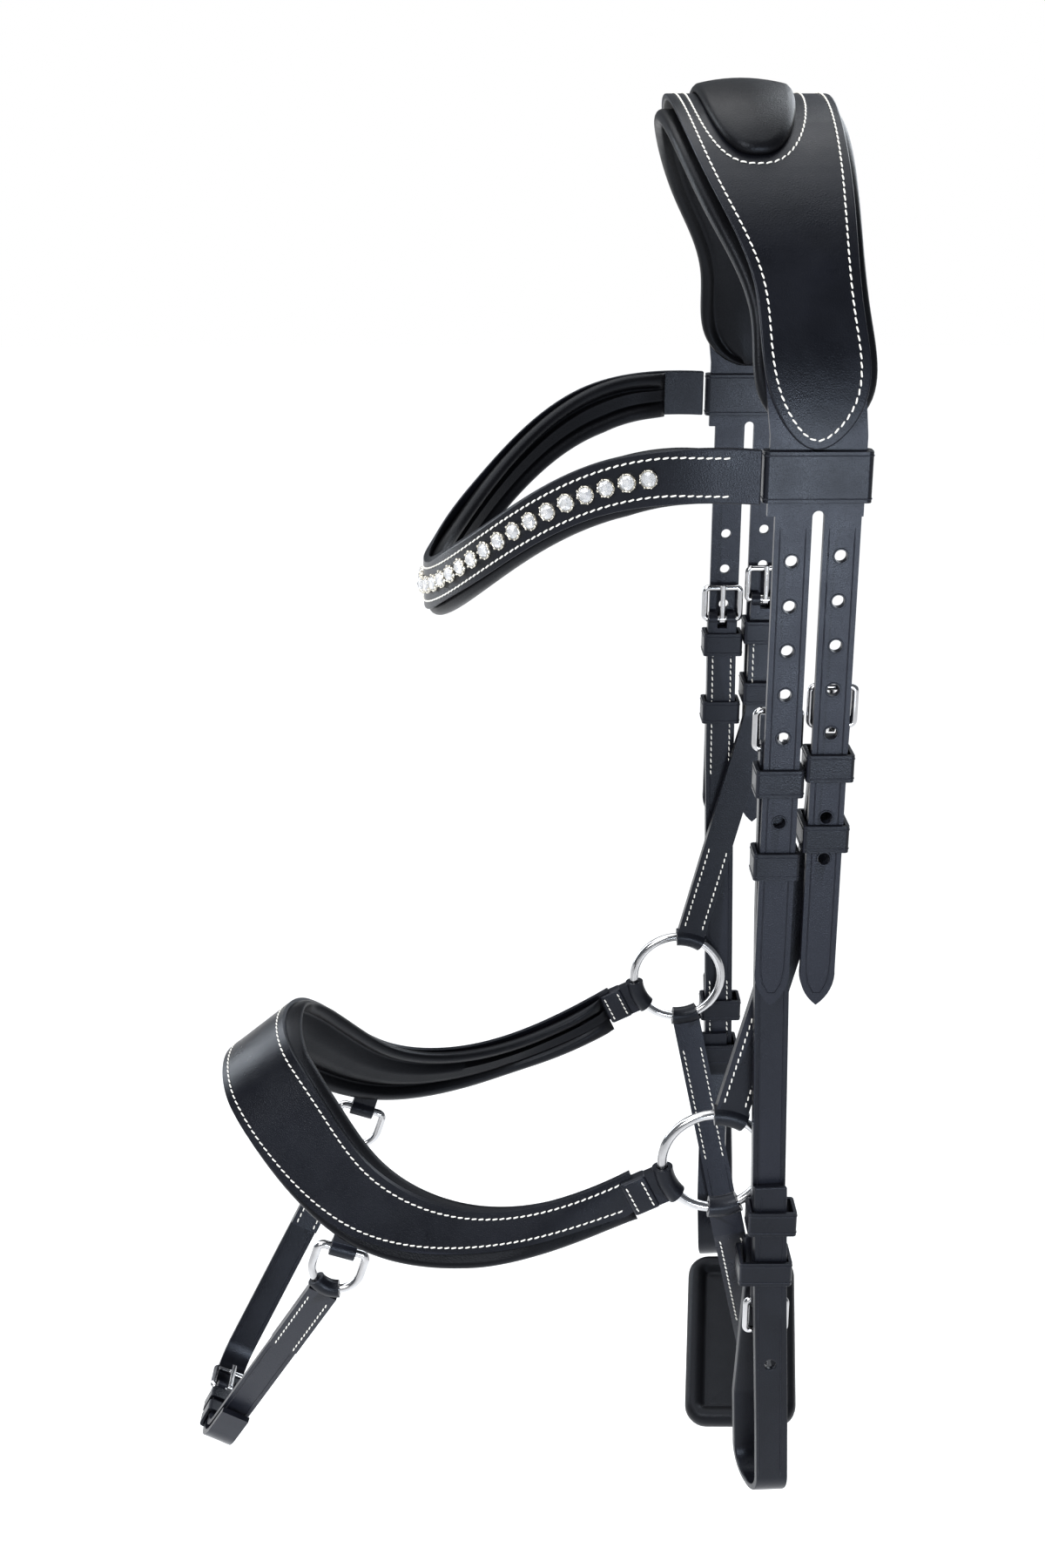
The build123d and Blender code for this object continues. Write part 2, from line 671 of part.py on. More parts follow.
def chin_straps():
    """Two straps from the chin rings: a buckle strap on the left and a billet that laps under it."""
    plane = sling_plane(D_X, D_Z, CHIN_TILT)
    seat = chin_seat()
    top, (near, far) = -D_R - 2.2, CHIN_CORNERS
    low, under = -CHIN_DEPTH, -CHIN_DEPTH - CHIN_LAP
    inner = ((-D_Y, top), (near, low), (CHIN_BUCKLE_Y, low))
    lap = CHIN_LAP * 0.73
    outer = ((D_Y, top), (far + lap, under), (near - lap, under), (near - lap - 9, under + 27))
    wraps = [ring_wrap((D_X, sign * D_Y, D_Z), D_R, CHIN_TILT - 90, CHIN_W, D_WIRE_R + 0.3, WRAP_OUT - 0.4)
             for sign in (-1, 1)]
    runs = (sling(plane, inner, CHIN_BEND, CHIN_W, CHIN_T),
            sling(plane, outer, CHIN_BEND + CHIN_LAP, CHIN_W, CHIN_T))
    fold, space = bar_fold(seat), bar_space(seat)
    with BuildPart() as buckle_strap:
        add(runs[0])
        add(chin_plate(plane, -1))
        add(wraps[0])
        add(fold)
        add(space, mode=Mode.SUBTRACT)
    save(buckle_strap, "chin_buckle_strap")
    with BuildPart() as billet:
        add(runs[1])
        add(chin_plate(plane, 1))
        add(wraps[1])
    save(billet, "chin_billet")


def chin_seat():
    plane = sling_plane(D_X, D_Z, CHIN_TILT)
    return Plane(origin=plane.from_local_coords((CHIN_BUCKLE_Y, -CHIN_DEPTH, 0)), x_dir=plane.z_dir,
                 z_dir=plane.y_dir)


def chin_keeper(name, y):
    plane = sling_plane(D_X, D_Z, CHIN_TILT)
    space_h = CHIN_LAP + CHIN_T + 2 * KEEPER_GAP
    space_w = CHIN_W + 2 * KEEPER_GAP
    section = Plane(origin=plane.from_local_coords((y - CHIN_KEEPER_W / 2, -CHIN_DEPTH - CHIN_LAP / 2, 0)),
                    x_dir=plane.z_dir, z_dir=(0, 1, 0))
    with BuildPart() as sleeve:
        with BuildSketch(section):
            RectangleRounded(space_w + 2 * KEEPER_T, space_h + 2 * KEEPER_T, KEEPER_T)
            Rectangle(space_w, space_h, mode=Mode.SUBTRACT)
        extrude(amount=CHIN_KEEPER_W)
    save(sleeve, name)


crown_strap()
headpiece_cover("headpiece_overlay", CROWN_OUT, OVERLAY_OUT,
                ((-34, 14), (-23, -17), (-8.5, -50), (-1, -90)), ((14, -104.6),),
                ((28.5, -92), (29, -60), (27, -20), (27.5, 14)))
headpiece_cover("headpiece_lining", SEAT, CROWN_IN,
                ((-39, 14), (-23, -27), (-9, -60), (-4.5, -90)), ((14, -101.5),),
                ((31.5, -92), (32.5, -60), (30.5, -20), (31, 14)))
poll_cushion()
browband("browband_outer", 0, BROW_T, 0, 0, -4.1)
browband("browband_lining", BROW_T, BROW_T + BROW_PAD_T, -0.3, 3, -14)
crystal_row()
noseband_body("noseband_outer", 0, BAND_T, 0, 0, -30)
noseband_body("noseband_lining", BAND_T, BAND_T + BAND_PAD_T, -0.5, 7, -45, (d_ring_tab_body(0),))


for side in SIDES:
    browband_loop(side)
    cheekpiece(side)
    buckle("cheek", side_seat(CHEEK_BUCKLE_X, CHEEK_BAR_Z, 1), side)
    buckle("nose", side_seat(NOSE_BUCKLE_X, NOSE_BAR_Z, 1), side)
    buckle("bit", side_seat(CHEEK_END_X, BIT_BAR_Z, -1), side)
    cheek_in, cheek_out = CHEEK_MID - CHEEK_T / 2, CHEEK_MID + CHEEK_T / 2
    keeper("cheek_fixed_keeper", side, 6.8, CHEEK_KEEPER_Z[0], cheek_in, CROWN_OUT[0], 14)
    keeper("cheek_sliding_keeper", side, 7.0, CHEEK_KEEPER_Z[1], cheek_in, CROWN_OUT[0], 13.6)
    keeper("nose_fixed_keeper", side, 24.9, NOSE_KEEPER_Z[0], 89.2, CROWN_OUT[0], 13.8)
    keeper("nose_sliding_keeper", side, 24.7, NOSE_KEEPER_Z[1], 84.0, CROWN_OUT[0], 13.4)
    bit_out = cheek_out + 0.9 + BIT_RUN_T
    keeper("bit_fixed_keeper", side, 10.4, BIT_KEEPER_Z[0], cheek_in - BIT_RUN_T, bit_out, 17.5)
    keeper("bit_sliding_keeper", side, 12.2, BIT_KEEPER_Z[1], cheek_in, bit_out, 15.6)
    bit_strap(side)
    noseband_ring(side)
    nose_cheek_strap(side)
    noseband_end_loop(side)
    d_ring(side)
    d_ring_tab(side)

jaw_strap()
jaw_pad()
chin_straps()
buckle("chin", chin_seat())
for name, y in zip(("chin_fixed_keeper", "chin_sliding_keeper"), CHIN_KEEPER_Y):
    chin_keeper(name, y)
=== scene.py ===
import json
from math import cos, pi, radians, sin, sqrt

import bmesh
import bpy
import numpy as np
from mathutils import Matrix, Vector
from mathutils.bvhtree import BVHTree

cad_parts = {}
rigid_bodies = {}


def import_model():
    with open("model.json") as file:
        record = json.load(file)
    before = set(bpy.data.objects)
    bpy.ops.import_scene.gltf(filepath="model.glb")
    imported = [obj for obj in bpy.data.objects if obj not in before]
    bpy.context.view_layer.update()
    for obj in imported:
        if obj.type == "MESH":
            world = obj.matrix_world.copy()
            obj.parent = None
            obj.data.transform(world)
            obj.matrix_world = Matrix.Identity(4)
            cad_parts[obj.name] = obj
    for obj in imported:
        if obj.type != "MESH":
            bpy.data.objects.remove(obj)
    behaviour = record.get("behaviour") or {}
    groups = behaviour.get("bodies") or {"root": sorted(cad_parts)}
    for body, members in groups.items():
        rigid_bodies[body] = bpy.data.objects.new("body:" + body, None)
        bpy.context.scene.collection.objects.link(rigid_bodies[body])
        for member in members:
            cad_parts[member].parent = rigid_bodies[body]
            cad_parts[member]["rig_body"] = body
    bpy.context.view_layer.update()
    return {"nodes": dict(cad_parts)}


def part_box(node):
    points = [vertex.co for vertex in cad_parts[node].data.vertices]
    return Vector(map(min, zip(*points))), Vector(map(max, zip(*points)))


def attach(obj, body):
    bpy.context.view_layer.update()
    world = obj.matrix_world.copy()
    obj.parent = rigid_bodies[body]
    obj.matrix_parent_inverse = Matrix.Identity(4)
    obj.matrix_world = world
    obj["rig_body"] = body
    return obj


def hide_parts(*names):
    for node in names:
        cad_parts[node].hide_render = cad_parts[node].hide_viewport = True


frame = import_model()

# Snaffle bridle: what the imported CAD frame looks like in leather, steel, thread and crystal.
# Shapes are worked out in millimetres in the CAD frame (+Z up, the horse faces -X, its left is -Y).

MM = 0.001
SIDES = (("left", -1), ("right", 1))
nodes = frame["nodes"]

# The same driving sizes as the CAD model
SPRING_Z = -100.0
CROWN_IN, CROWN_OUT = (97.0, 5.5), (100.0, 8.5)
OVERLAY_OUT, CUSHION_OUT = (102.4, 10.9), (107.5, 16.4)
FRONT_X, REAR_X, BILLET_W = 7.3, 24.5, 13.0
SLIT_TOP_Z, TIP_Z = -126.0, -316.0
HOLE_PITCH, HOLE_ROWS = 16.3, ((7.3, -144.0, 7), (24.5, -142.0, 8))    # centre line, top hole, holes
BROW_FRONT_X, BROW_ARCS = -126.0, ((78.0, 22.0), (116.0, 64.0))
BROW_T, BROW_PAD_T, BROW_HALF = 2.4, 6.0, 9.6
BROW_MID_Z, BROW_DIP, BROW_DIP_RUN = -144.0, 30.0, 150.0
CRYSTALS_EACH_SIDE, CRYSTAL_PITCH = 18, 7.6
CHEEK_MID = 93.4
RING = (-10.0, 86.0, -392.0)
RING_R = 21.0
NOSE_ANGLE, BAND_ANGLE, JAW_TILT = 75.4, 206.0, 12.0
BAND_Z, LEAN, BAND_FRONT_X = -404.0, 1.23, -235.0
BAND_ARCS, BAND_STRAIGHT, BAND_END_ARC = ((34.0, 62.0), (150.0, 10.0)), 142.0, (60.0, 16.0)
BAND_T, BAND_PAD_T = 2.4, 7.0
BAND_TOP = ((-191, -368), (-175, -384), (-150, -411.5), (-115, -422), (-75, -413.5), (-44, -397.5))
BAND_BOTTOM = ((-218, -390), (-199, -412.5), (-160, -438.5), (-124, -440.5), (-80, -429.5),
               (-37.3, -413.6))
D_RING = (-165.5, 60.0, -458.0)
D_R, CHIN_TILT, CHIN_DEPTH, CHIN_LAP = 10.5, -28.0, 131.0, 4.8
JAW_PATH = ((-84.2, -34.0), (-24.0, -191.0), (66.0, -143.0), (84.2, -34.0))
PAD_L, PAD_W, PAD_FORWARD, PAD_TURN = 86.0, 52.0, 5.0, -11.0
STRAP_T = 3.0


# ---------------------------------------------------------------- camera, floor and light

def look():
    """Camera at the bridle's left side, a little above its browband and looking down."""
    camera = bpy.data.objects.new("camera", bpy.data.cameras.new("camera"))
    bpy.context.scene.collection.objects.link(camera)
    camera.data.lens, camera.data.sensor_width, camera.data.sensor_fit = 44.0, 36.0, "AUTO"
    camera.data.clip_start, camera.data.clip_end = 0.05, 20.0
    pitch, yaw = radians(19.6), radians(0.6)
    camera.location = (-0.094, -0.758, 0.008)
    forward = Vector((sin(yaw) * cos(pitch), cos(yaw) * cos(pitch), -sin(pitch)))
    camera.rotation_euler = forward.to_track_quat("-Z", "Y").to_euler()
    bpy.context.scene.camera = camera


def area_light(name, at, target, size, power, colour):
    """Soft light that shows in reflections but not in the picture itself."""
    data = bpy.data.lights.new(name, "AREA")
    data.shape, data.size, data.size_y = "RECTANGLE", size[0], size[1]
    data.energy, data.color = power, colour
    lamp = bpy.data.objects.new(name, data)
    bpy.context.scene.collection.objects.link(lamp)
    lamp.location = at
    lamp.visible_camera = False
    lamp.rotation_euler = (Vector(target) - Vector(at)).to_track_quat("-Z", "Y").to_euler()


def stage():
    """White studio: a pale floor, a white surround, soft lights on both sides and one from above."""
    floor_mat = bpy.data.materials.new("pale_floor")
    floor_mat.use_nodes = True
    shader = floor_mat.node_tree.nodes["Principled BSDF"]
    shader.inputs["Base Color"].default_value = (0.98, 0.98, 0.98, 1)
    shader.inputs["Roughness"].default_value = 0.9
    shader.inputs["Specular IOR Level"].default_value = 0.1
    mesh = bpy.data.meshes.new("floor")
    size, z = 12.0, -1.5
    corners = [(-size, -size, z), (size, -size, z), (size, size, z), (-size, size, z)]
    mesh.from_pydata(corners, [], [(0, 1, 2, 3)])
    floor = bpy.data.objects.new("floor", mesh)
    bpy.context.scene.collection.objects.link(floor)
    mesh.materials.append(floor_mat)
    world = bpy.data.worlds.new("studio")
    bpy.context.scene.world = world
    world.use_nodes = True
    tree = world.node_tree
    fill = tree.nodes["Background"]
    fill.inputs["Color"].default_value = (0.86, 0.92, 1.0, 1)
    fill.inputs["Strength"].default_value = 0.22
    white = tree.nodes.new("ShaderNodeBackground")
    white.inputs["Color"].default_value = (1, 1, 1, 1)
    seen = tree.nodes.new("ShaderNodeLightPath")
    either = tree.nodes.new("ShaderNodeMixShader")
    tree.links.new(seen.outputs["Is Camera Ray"], either.inputs["Fac"])
    tree.links.new(fill.outputs["Background"], either.inputs[1])
    tree.links.new(white.outputs["Background"], either.inputs[2])
    tree.links.new(either.outputs["Shader"], tree.nodes["World Output"].inputs["Surface"])
    area_light("front", (0.28, -1.7, -0.36), (0.01, -0.1, -0.15), (0.42, 0.34), 16, (0.84, 0.91, 1.0))
    area_light("key", (-1.1, -1.6, 1.0), (-0.05, 0, -0.25), (0.8, 1.2), 40, (1.0, 0.99, 0.97))
    area_light("rear", (0.9, 1.3, 0.6), (-0.05, 0, -0.3), (0.8, 1.4), 18, (0.9, 0.95, 1.0))
    area_light("far_side", (-1.4, 0.9, 0.1), (-0.1, 0, -0.3), (0.7, 1.2), 16, (0.9, 0.95, 1.0))
    overhead = bpy.data.lights.new("overhead", "SUN")
    overhead.energy, overhead.angle = 2.9, radians(70)
    lamp = bpy.data.objects.new("overhead", overhead)
    bpy.context.scene.collection.objects.link(lamp)
    lamp.rotation_euler = (radians(-12), radians(-14), 0)
    bpy.context.scene.view_settings.view_transform = "Standard"


# ---------------------------------------------------------------- materials

def new_material(name):
    material = bpy.data.materials.new(name)
    material.use_nodes = True
    tree = material.node_tree
    return material, tree, tree.nodes["Principled BSDF"]


def ramp(tree, source, stops):
    """Colours or greys spread over a value between 0 and 1."""
    node = tree.nodes.new("ShaderNodeValToRGB")
    while len(node.color_ramp.elements) < len(stops):
        node.color_ramp.elements.new(0.5)
    for element, (at, colour) in zip(node.color_ramp.elements, stops):
        element.position = at
        element.color = (*colour, 1) if isinstance(colour, tuple) else (colour, colour, colour, 1)
    tree.links.new(source, node.inputs["Fac"])
    return node.outputs["Color"]


def noise(tree, scale, detail=3.0, roughness=0.5):
    coords = tree.nodes.new("ShaderNodeTexCoord")
    node = tree.nodes.new("ShaderNodeTexNoise")
    node.inputs["Scale"].default_value = scale
    node.inputs["Detail"].default_value = detail
    node.inputs["Roughness"].default_value = roughness
    tree.links.new(coords.outputs["Object"], node.inputs["Vector"])
    return node.outputs["Fac"]


def leather(name, dark, light, rough, grain, strength, shine, coat):
    """Dyed leather: pebbled grain, cloudy dye, and rubbed, lighter edges."""
    material, tree, shader = new_material(name)
    coords = tree.nodes.new("ShaderNodeTexCoord")
    cells = tree.nodes.new("ShaderNodeTexVoronoi")
    cells.feature = "DISTANCE_TO_EDGE"
    cells.inputs["Scale"].default_value = grain
    tree.links.new(coords.outputs["Object"], cells.inputs["Vector"])
    fine = noise(tree, grain * 1.7, 4.0, 0.6)
    mix = tree.nodes.new("ShaderNodeMath")
    mix.operation = "MULTIPLY_ADD"
    tree.links.new(cells.outputs["Distance"], mix.inputs[0])
    mix.inputs[1].default_value = 0.7
    tree.links.new(fine, mix.inputs[2])
    bump = tree.nodes.new("ShaderNodeBump")
    bump.inputs["Strength"].default_value = strength
    bump.inputs["Distance"].default_value = 0.0003
    tree.links.new(mix.outputs[0], bump.inputs["Height"])
    tree.links.new(bump.outputs["Normal"], shader.inputs["Normal"])
    clouds = noise(tree, 28.0, 4.0, 0.6)
    dye = ramp(tree, clouds, ((0.3, dark), (0.72, light)))
    worn = tree.nodes.new("ShaderNodeNewGeometry")
    edge = ramp(tree, worn.outputs["Pointiness"], ((0.52, 0.0), (0.60, 1.0)))
    blend = tree.nodes.new("ShaderNodeMix")
    blend.data_type = "RGBA"
    tree.links.new(edge, blend.inputs["Factor"])
    tree.links.new(dye, blend.inputs[6])
    blend.inputs[7].default_value = (*(v * 1.7 for v in light), 1)
    tree.links.new(blend.outputs[2], shader.inputs["Base Color"])
    patches = ramp(tree, noise(tree, 60.0, 3.0, 0.55), ((0.3, rough - 0.06), (0.75, rough + 0.08)))
    tree.links.new(patches, shader.inputs["Roughness"])
    shader.inputs["Specular IOR Level"].default_value = shine
    shader.inputs["Specular Tint"].default_value = (0.80, 0.87, 1.0, 1)
    shader.inputs["Coat Weight"].default_value = coat
    shader.inputs["Coat Roughness"].default_value = 0.28
    return material


def metal(name, colour, rough):
    material, tree, shader = new_material(name)
    shader.inputs["Metallic"].default_value = 1.0
    streaks = noise(tree, 240.0, 5.0, 0.7)
    tree.links.new(ramp(tree, streaks, ((0.35, tuple(v * 0.86 for v in colour)), (0.7, colour))),
                   shader.inputs["Base Color"])
    tree.links.new(ramp(tree, noise(tree, 90.0), ((0.3, rough * 0.6), (0.75, rough * 1.7))),
                   shader.inputs["Roughness"])
    bump = tree.nodes.new("ShaderNodeBump")
    bump.inputs["Strength"].default_value = 0.06
    bump.inputs["Distance"].default_value = 0.0002
    tree.links.new(streaks, bump.inputs["Height"])
    tree.links.new(bump.outputs["Normal"], shader.inputs["Normal"])
    return material


def thread():
    material, tree, shader = new_material("waxed_thread")
    coords = tree.nodes.new("ShaderNodeTexCoord")
    twist = tree.nodes.new("ShaderNodeTexWave")
    twist.inputs["Scale"].default_value = 900.0
    twist.inputs["Distortion"].default_value = 1.5
    tree.links.new(coords.outputs["Object"], twist.inputs["Vector"])
    tree.links.new(ramp(tree, twist.outputs["Fac"], ((0.2, (0.62, 0.60, 0.55)), (0.7, (0.90, 0.89, 0.84)))),
                   shader.inputs["Base Color"])
    shader.inputs["Roughness"].default_value = 0.65
    return material


def crystal():
    material, tree, shader = new_material("crystal")
    tint = ramp(tree, noise(tree, 320.0), ((0.35, (0.86, 0.88, 0.92)), (0.7, (0.99, 0.99, 1.0))))
    tree.links.new(tint, shader.inputs["Base Color"])
    shader.inputs["Roughness"].default_value = 0.02
    shader.inputs["IOR"].default_value = 2.1
    shader.inputs["Transmission Weight"].default_value = 0.75
    return material


BLACK = leather("bridle_leather", (0.0022, 0.0024, 0.0036), (0.0056, 0.0061, 0.0090), rough=0.31,
                grain=1100.0, strength=0.30, shine=0.18, coat=0.04)
PADDED = leather("padded_leather", (0.0016, 0.0016, 0.0020), (0.0042, 0.0042, 0.0050), rough=0.36,
                 grain=850.0, strength=0.30, shine=0.13, coat=0.0)
STEEL = metal("polished_steel", (0.50, 0.50, 0.51), 0.15)
SILVER = metal("silver_cups", (0.60, 0.57, 0.50), 0.2)
THREAD = thread()
CRYSTAL = crystal()


# ---------------------------------------------------------------- curves and surfaces

def spline(points, count):
    """Smooth curve through points, evenly sampled by chord length."""
    p = np.array(points, float)
    n = len(p)
    t = np.concatenate([[0], np.cumsum(np.linalg.norm(np.diff(p, axis=0), axis=1))])
    h = np.diff(t)
    a = np.zeros((n, n))
    b = np.zeros((n, p.shape[1]))
    a[0, 0] = a[-1, -1] = 1
    for i in range(1, n - 1):
        a[i, i - 1], a[i, i], a[i, i + 1] = h[i - 1], 2 * (h[i - 1] + h[i]), h[i]
        b[i] = 3 * ((p[i + 1] - p[i]) / h[i] - (p[i] - p[i - 1]) / h[i - 1])
    c = np.linalg.solve(a, b)
    out = []
    for v in np.linspace(0, t[-1], count):
        i = min(int(np.searchsorted(t, v, side="right")) - 1, n - 2)
        d = v - t[i]
        slope = (p[i + 1] - p[i]) / h[i] - h[i] * (2 * c[i] + c[i + 1]) / 3
        out.append(p[i] + slope * d + c[i] * d * d + (c[i + 1] - c[i]) / (3 * h[i]) * d ** 3)
    return np.array(out)


def resample(points, count):
    p = np.array(points, float)
    t = np.concatenate([[0], np.cumsum(np.linalg.norm(np.diff(p, axis=0), axis=1))])
    v = np.linspace(0, t[-1], count)
    return np.stack([np.interp(v, t, p[:, k]) for k in range(p.shape[1])], 1)


def length(points):
    return float(np.linalg.norm(np.diff(np.array(points, float), axis=0), axis=1).sum())


def offset(points, distance):
    """Plane polyline moved sideways to its left."""
    p = np.array(points, float)
    along = np.gradient(p, axis=0)
    along /= np.linalg.norm(along, axis=1)[:, None] + 1e-12
    return p + distance * np.stack([-along[:, 1], along[:, 0]], 1)


def unit(v):
    return v / (np.linalg.norm(v) + 1e-12)


def arch_table(size):
    """Arc length from the poll down to a height on one side of a headpiece shell."""
    half, top = size
    a = np.linspace(pi / 2, 0, 400)
    y, z = half * np.cos(a), SPRING_Z + (top - SPRING_Z) * np.sin(a)
    y, z = np.append(y, half), np.append(z, TIP_Z - 10)
    return np.concatenate([[0], np.cumsum(np.hypot(np.diff(y), np.diff(z)))]), y, z


def arch_point(table, x, run, lift=0.0):
    """Point and outward normal at a signed arc length from the poll (left side negative)."""
    s, y, z = table
    run_abs = abs(run)
    here = np.array([np.interp(run_abs, s, y), np.interp(run_abs, s, z)])
    ahead = np.array([np.interp(run_abs + 0.5, s, y), np.interp(run_abs + 0.5, s, z)])
    back = np.array([np.interp(max(run_abs - 0.5, 0), s, y), np.interp(max(run_abs - 0.5, 0), s, z)])
    along = unit(ahead - back) if run_abs > 0.5 else np.array([1.0, 0.0])
    normal = np.array([-along[1], along[0]])
    sign = 1 if run >= 0 else -1
    out = np.array([0, sign * normal[0], normal[1]])
    return np.array([x, sign * here[0], here[1]]) + lift * out, out


def bow_point(s, front_x, arcs, straight=0.0, end_arc=(0.0, 0.0)):
    """X, Y and heading (radians) at s along the outer face of a bow from the middle of its front."""
    heading, x, y, left = 0.0, front_x, 0.0, abs(s)
    parts = [(r, radians(t)) for r, t in arcs]
    if straight:
        parts.append((0, straight))
        parts.append((end_arc[0], radians(end_arc[1])))
    parts.append((0, 1e6))
    for radius, turn in parts:
        if radius:
            run = min(left, turn * radius)
            after = heading + run / radius
            x += radius * (cos(heading) - cos(after))
            y += radius * (sin(after) - sin(heading))
            heading = after
        else:
            run = min(left, turn)
            x += run * sin(heading)
            y += run * cos(heading)
        left -= run
        if left <= 0:
            break
    return x, (y if s > 0 else -y), heading


def brow_surface(s, up, depth):
    """Point and outward normal on the browband: s along it, up from its middle, depth behind its face."""
    x, y, heading = bow_point(s, BROW_FRONT_X, BROW_ARCS)
    out = np.array([-cos(heading), sin(heading) * (1 if s > 0 else -1), 0.0])
    z = BROW_MID_Z - BROW_DIP * cos(pi * min(abs(s), BROW_DIP_RUN) / BROW_DIP_RUN)
    return np.array([x, y, z + up]) - depth * out, out


def band_surface(s, z, depth):
    """Point and outward normal on the leaning noseband at a height."""
    x, y, heading = bow_point(s, BAND_FRONT_X, BAND_ARCS, BAND_STRAIGHT, BAND_END_ARC)
    flat = np.array([-cos(heading), sin(heading) * (1 if s > 0 else -1), 0.0])
    along = np.array([sin(heading), cos(heading) * (1 if s > 0 else -1), 0.0])
    rise = np.array([LEAN, 0.0, 1.0])
    normal = unit(np.cross(along, rise) * (1 if s > 0 else -1))
    if np.dot(normal, flat) < 0:
        normal = -normal
    at = np.array([x + LEAN * (z - BAND_Z), y, z]) - depth * flat
    return at, normal


def band_edge(side_view, end_x):
    """(s, z) along one edge of the noseband's left half, from its front to its end."""
    line = spline(side_view, 160)
    line = line[np.argsort(line[:, 0])]
    out = []
    for s in np.linspace(0.0, 330.0, 331):
        x0, _, _ = bow_point(s, BAND_FRONT_X, BAND_ARCS, BAND_STRAIGHT, BAND_END_ARC)
        low, high = -480.0, -340.0
        for _ in range(40):
            mid = (low + high) / 2
            x = x0 + LEAN * (mid - BAND_Z)
            slope = (line[1] - line[0]) / (line[1, 0] - line[0, 0])
            if x < line[0, 0]:
                target = line[0, 1] + (x - line[0, 0]) * slope[1]
            else:
                target = float(np.interp(x, line[:, 0], line[:, 1]))
            if mid < target:
                low = mid
            else:
                high = mid
        if x0 + LEAN * (low - BAND_Z) > end_x:
            break
        out.append((s, low))
    return np.array(out)


# ---------------------------------------------------------------- mesh building

def make(name, verts, faces, material, body, smooth=45.0, replaces=None):
    mesh = bpy.data.meshes.new(name)
    mesh.from_pydata([tuple(float(c) * MM for c in v) for v in verts], [], faces)
    mesh.validate()
    mesh.materials.append(material)
    ob = bpy.data.objects.new(name, mesh)
    bpy.context.scene.collection.objects.link(ob)
    tidy_normals(mesh)
    if smooth:
        mesh.shade_smooth()
        mesh.set_sharp_from_angle(angle=radians(smooth))
    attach(ob, body)
    if replaces:
        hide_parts(*replaces)
    return ob


def tidy_normals(mesh):
    bm = bmesh.new()
    bm.from_mesh(mesh)
    bmesh.ops.remove_doubles(bm, verts=bm.verts, dist=1e-6)
    bmesh.ops.recalc_face_normals(bm, faces=bm.faces)
    bm.to_mesh(mesh)
    bm.free()


def bake_modifiers(ob):
    """Replaces a piece's mesh with what its modifiers make of it."""
    depsgraph = bpy.context.evaluated_depsgraph_get()
    mesh = bpy.data.meshes.new_from_object(ob.evaluated_get(depsgraph))
    ob.modifiers.clear()
    ob.data = mesh


def rounded(node, width, material, segments=3, angle=32.0):
    """Copy of a CAD solid with its edges rounded as cut and burnished leather is."""
    ob = bpy.data.objects.new(node + "_piece", nodes[node].data.copy())
    bpy.context.scene.collection.objects.link(ob)
    bm = bmesh.new()
    bm.from_mesh(ob.data)
    bmesh.ops.remove_doubles(bm, verts=bm.verts, dist=2e-6)
    bmesh.ops.dissolve_limit(bm, angle_limit=radians(0.6), verts=bm.verts, edges=bm.edges)
    bm.to_mesh(ob.data)
    bm.free()
    ob.data.materials.clear()
    ob.data.materials.append(material)
    bevel = ob.modifiers.new("round", "BEVEL")
    bevel.width, bevel.segments = width * MM, segments
    bevel.limit_method, bevel.angle_limit = "ANGLE", radians(angle)
    bevel.use_clamp_overlap = True
    bake_modifiers(ob)
    ob.data.shade_smooth()
    ob.data.set_sharp_from_angle(angle=radians(50))
    weighted = ob.modifiers.new("weighted", "WEIGHTED_NORMAL")
    weighted.keep_sharp = True
    bake_modifiers(ob)
    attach(ob, nodes[node]["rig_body"])
    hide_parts(node)
    return ob


def grid_faces(rows, cols, closed):
    faces = []
    for i in range(rows - 1):
        for j in range(cols if closed else cols - 1):
            k = (j + 1) % cols
            faces.append((i * cols + j, i * cols + k, (i + 1) * cols + k, (i + 1) * cols + j))
    return faces


def tube(path, radius, sides=6, taper=True):
    """Verts and faces of a thin closed tube along a list of (point, normal)."""
    points = np.array([p for p, _ in path])
    verts = []
    tangents = np.gradient(points, axis=0)
    for i, (point, normal) in enumerate(path):
        t = unit(tangents[i])
        side = unit(np.cross(t, normal))
        up = np.cross(side, t)
        r = radius * (0.25 if taper and i in (0, len(path) - 1) else 1.0)
        for k in range(sides):
            a = 2 * pi * k / sides
            verts.append(point + r * (cos(a) * side + sin(a) * up))
    faces = grid_faces(len(path), sides, True)
    faces.append(tuple(range(sides)))
    faces.append(tuple(range((len(path) - 1) * sides, len(path) * sides)))
    return verts, faces


class Heap:
    """Many small closed shapes gathered into one mesh."""

    def __init__(self):
        self.verts, self.faces = [], []

    def add(self, verts, faces):
        start = len(self.verts)
        self.verts += list(verts)
        self.faces += [tuple(i + start for i in face) for face in faces]

    def piece(self, name, material, body, slot, smooth=60.0):
        return make(name, self.verts, self.faces, material, body, smooth)


def stitch(heap, point, tangent, normal, long, thick, slant=9.0):
    """One stitch: a short thread that dives into the leather at both ends."""
    t, n = unit(tangent), unit(normal)
    side = np.cross(n, t)
    t = cos(radians(slant)) * t + sin(radians(slant)) * side
    path = []
    for f, lift in ((-0.5, -0.35), (-0.36, 0.18), (-0.12, 0.34), (0.12, 0.34), (0.36, 0.18), (0.5, -0.35)):
        path.append((point + t * long * f + n * lift * thick, n))
    heap.add(*tube(path, thick / 2, 6))


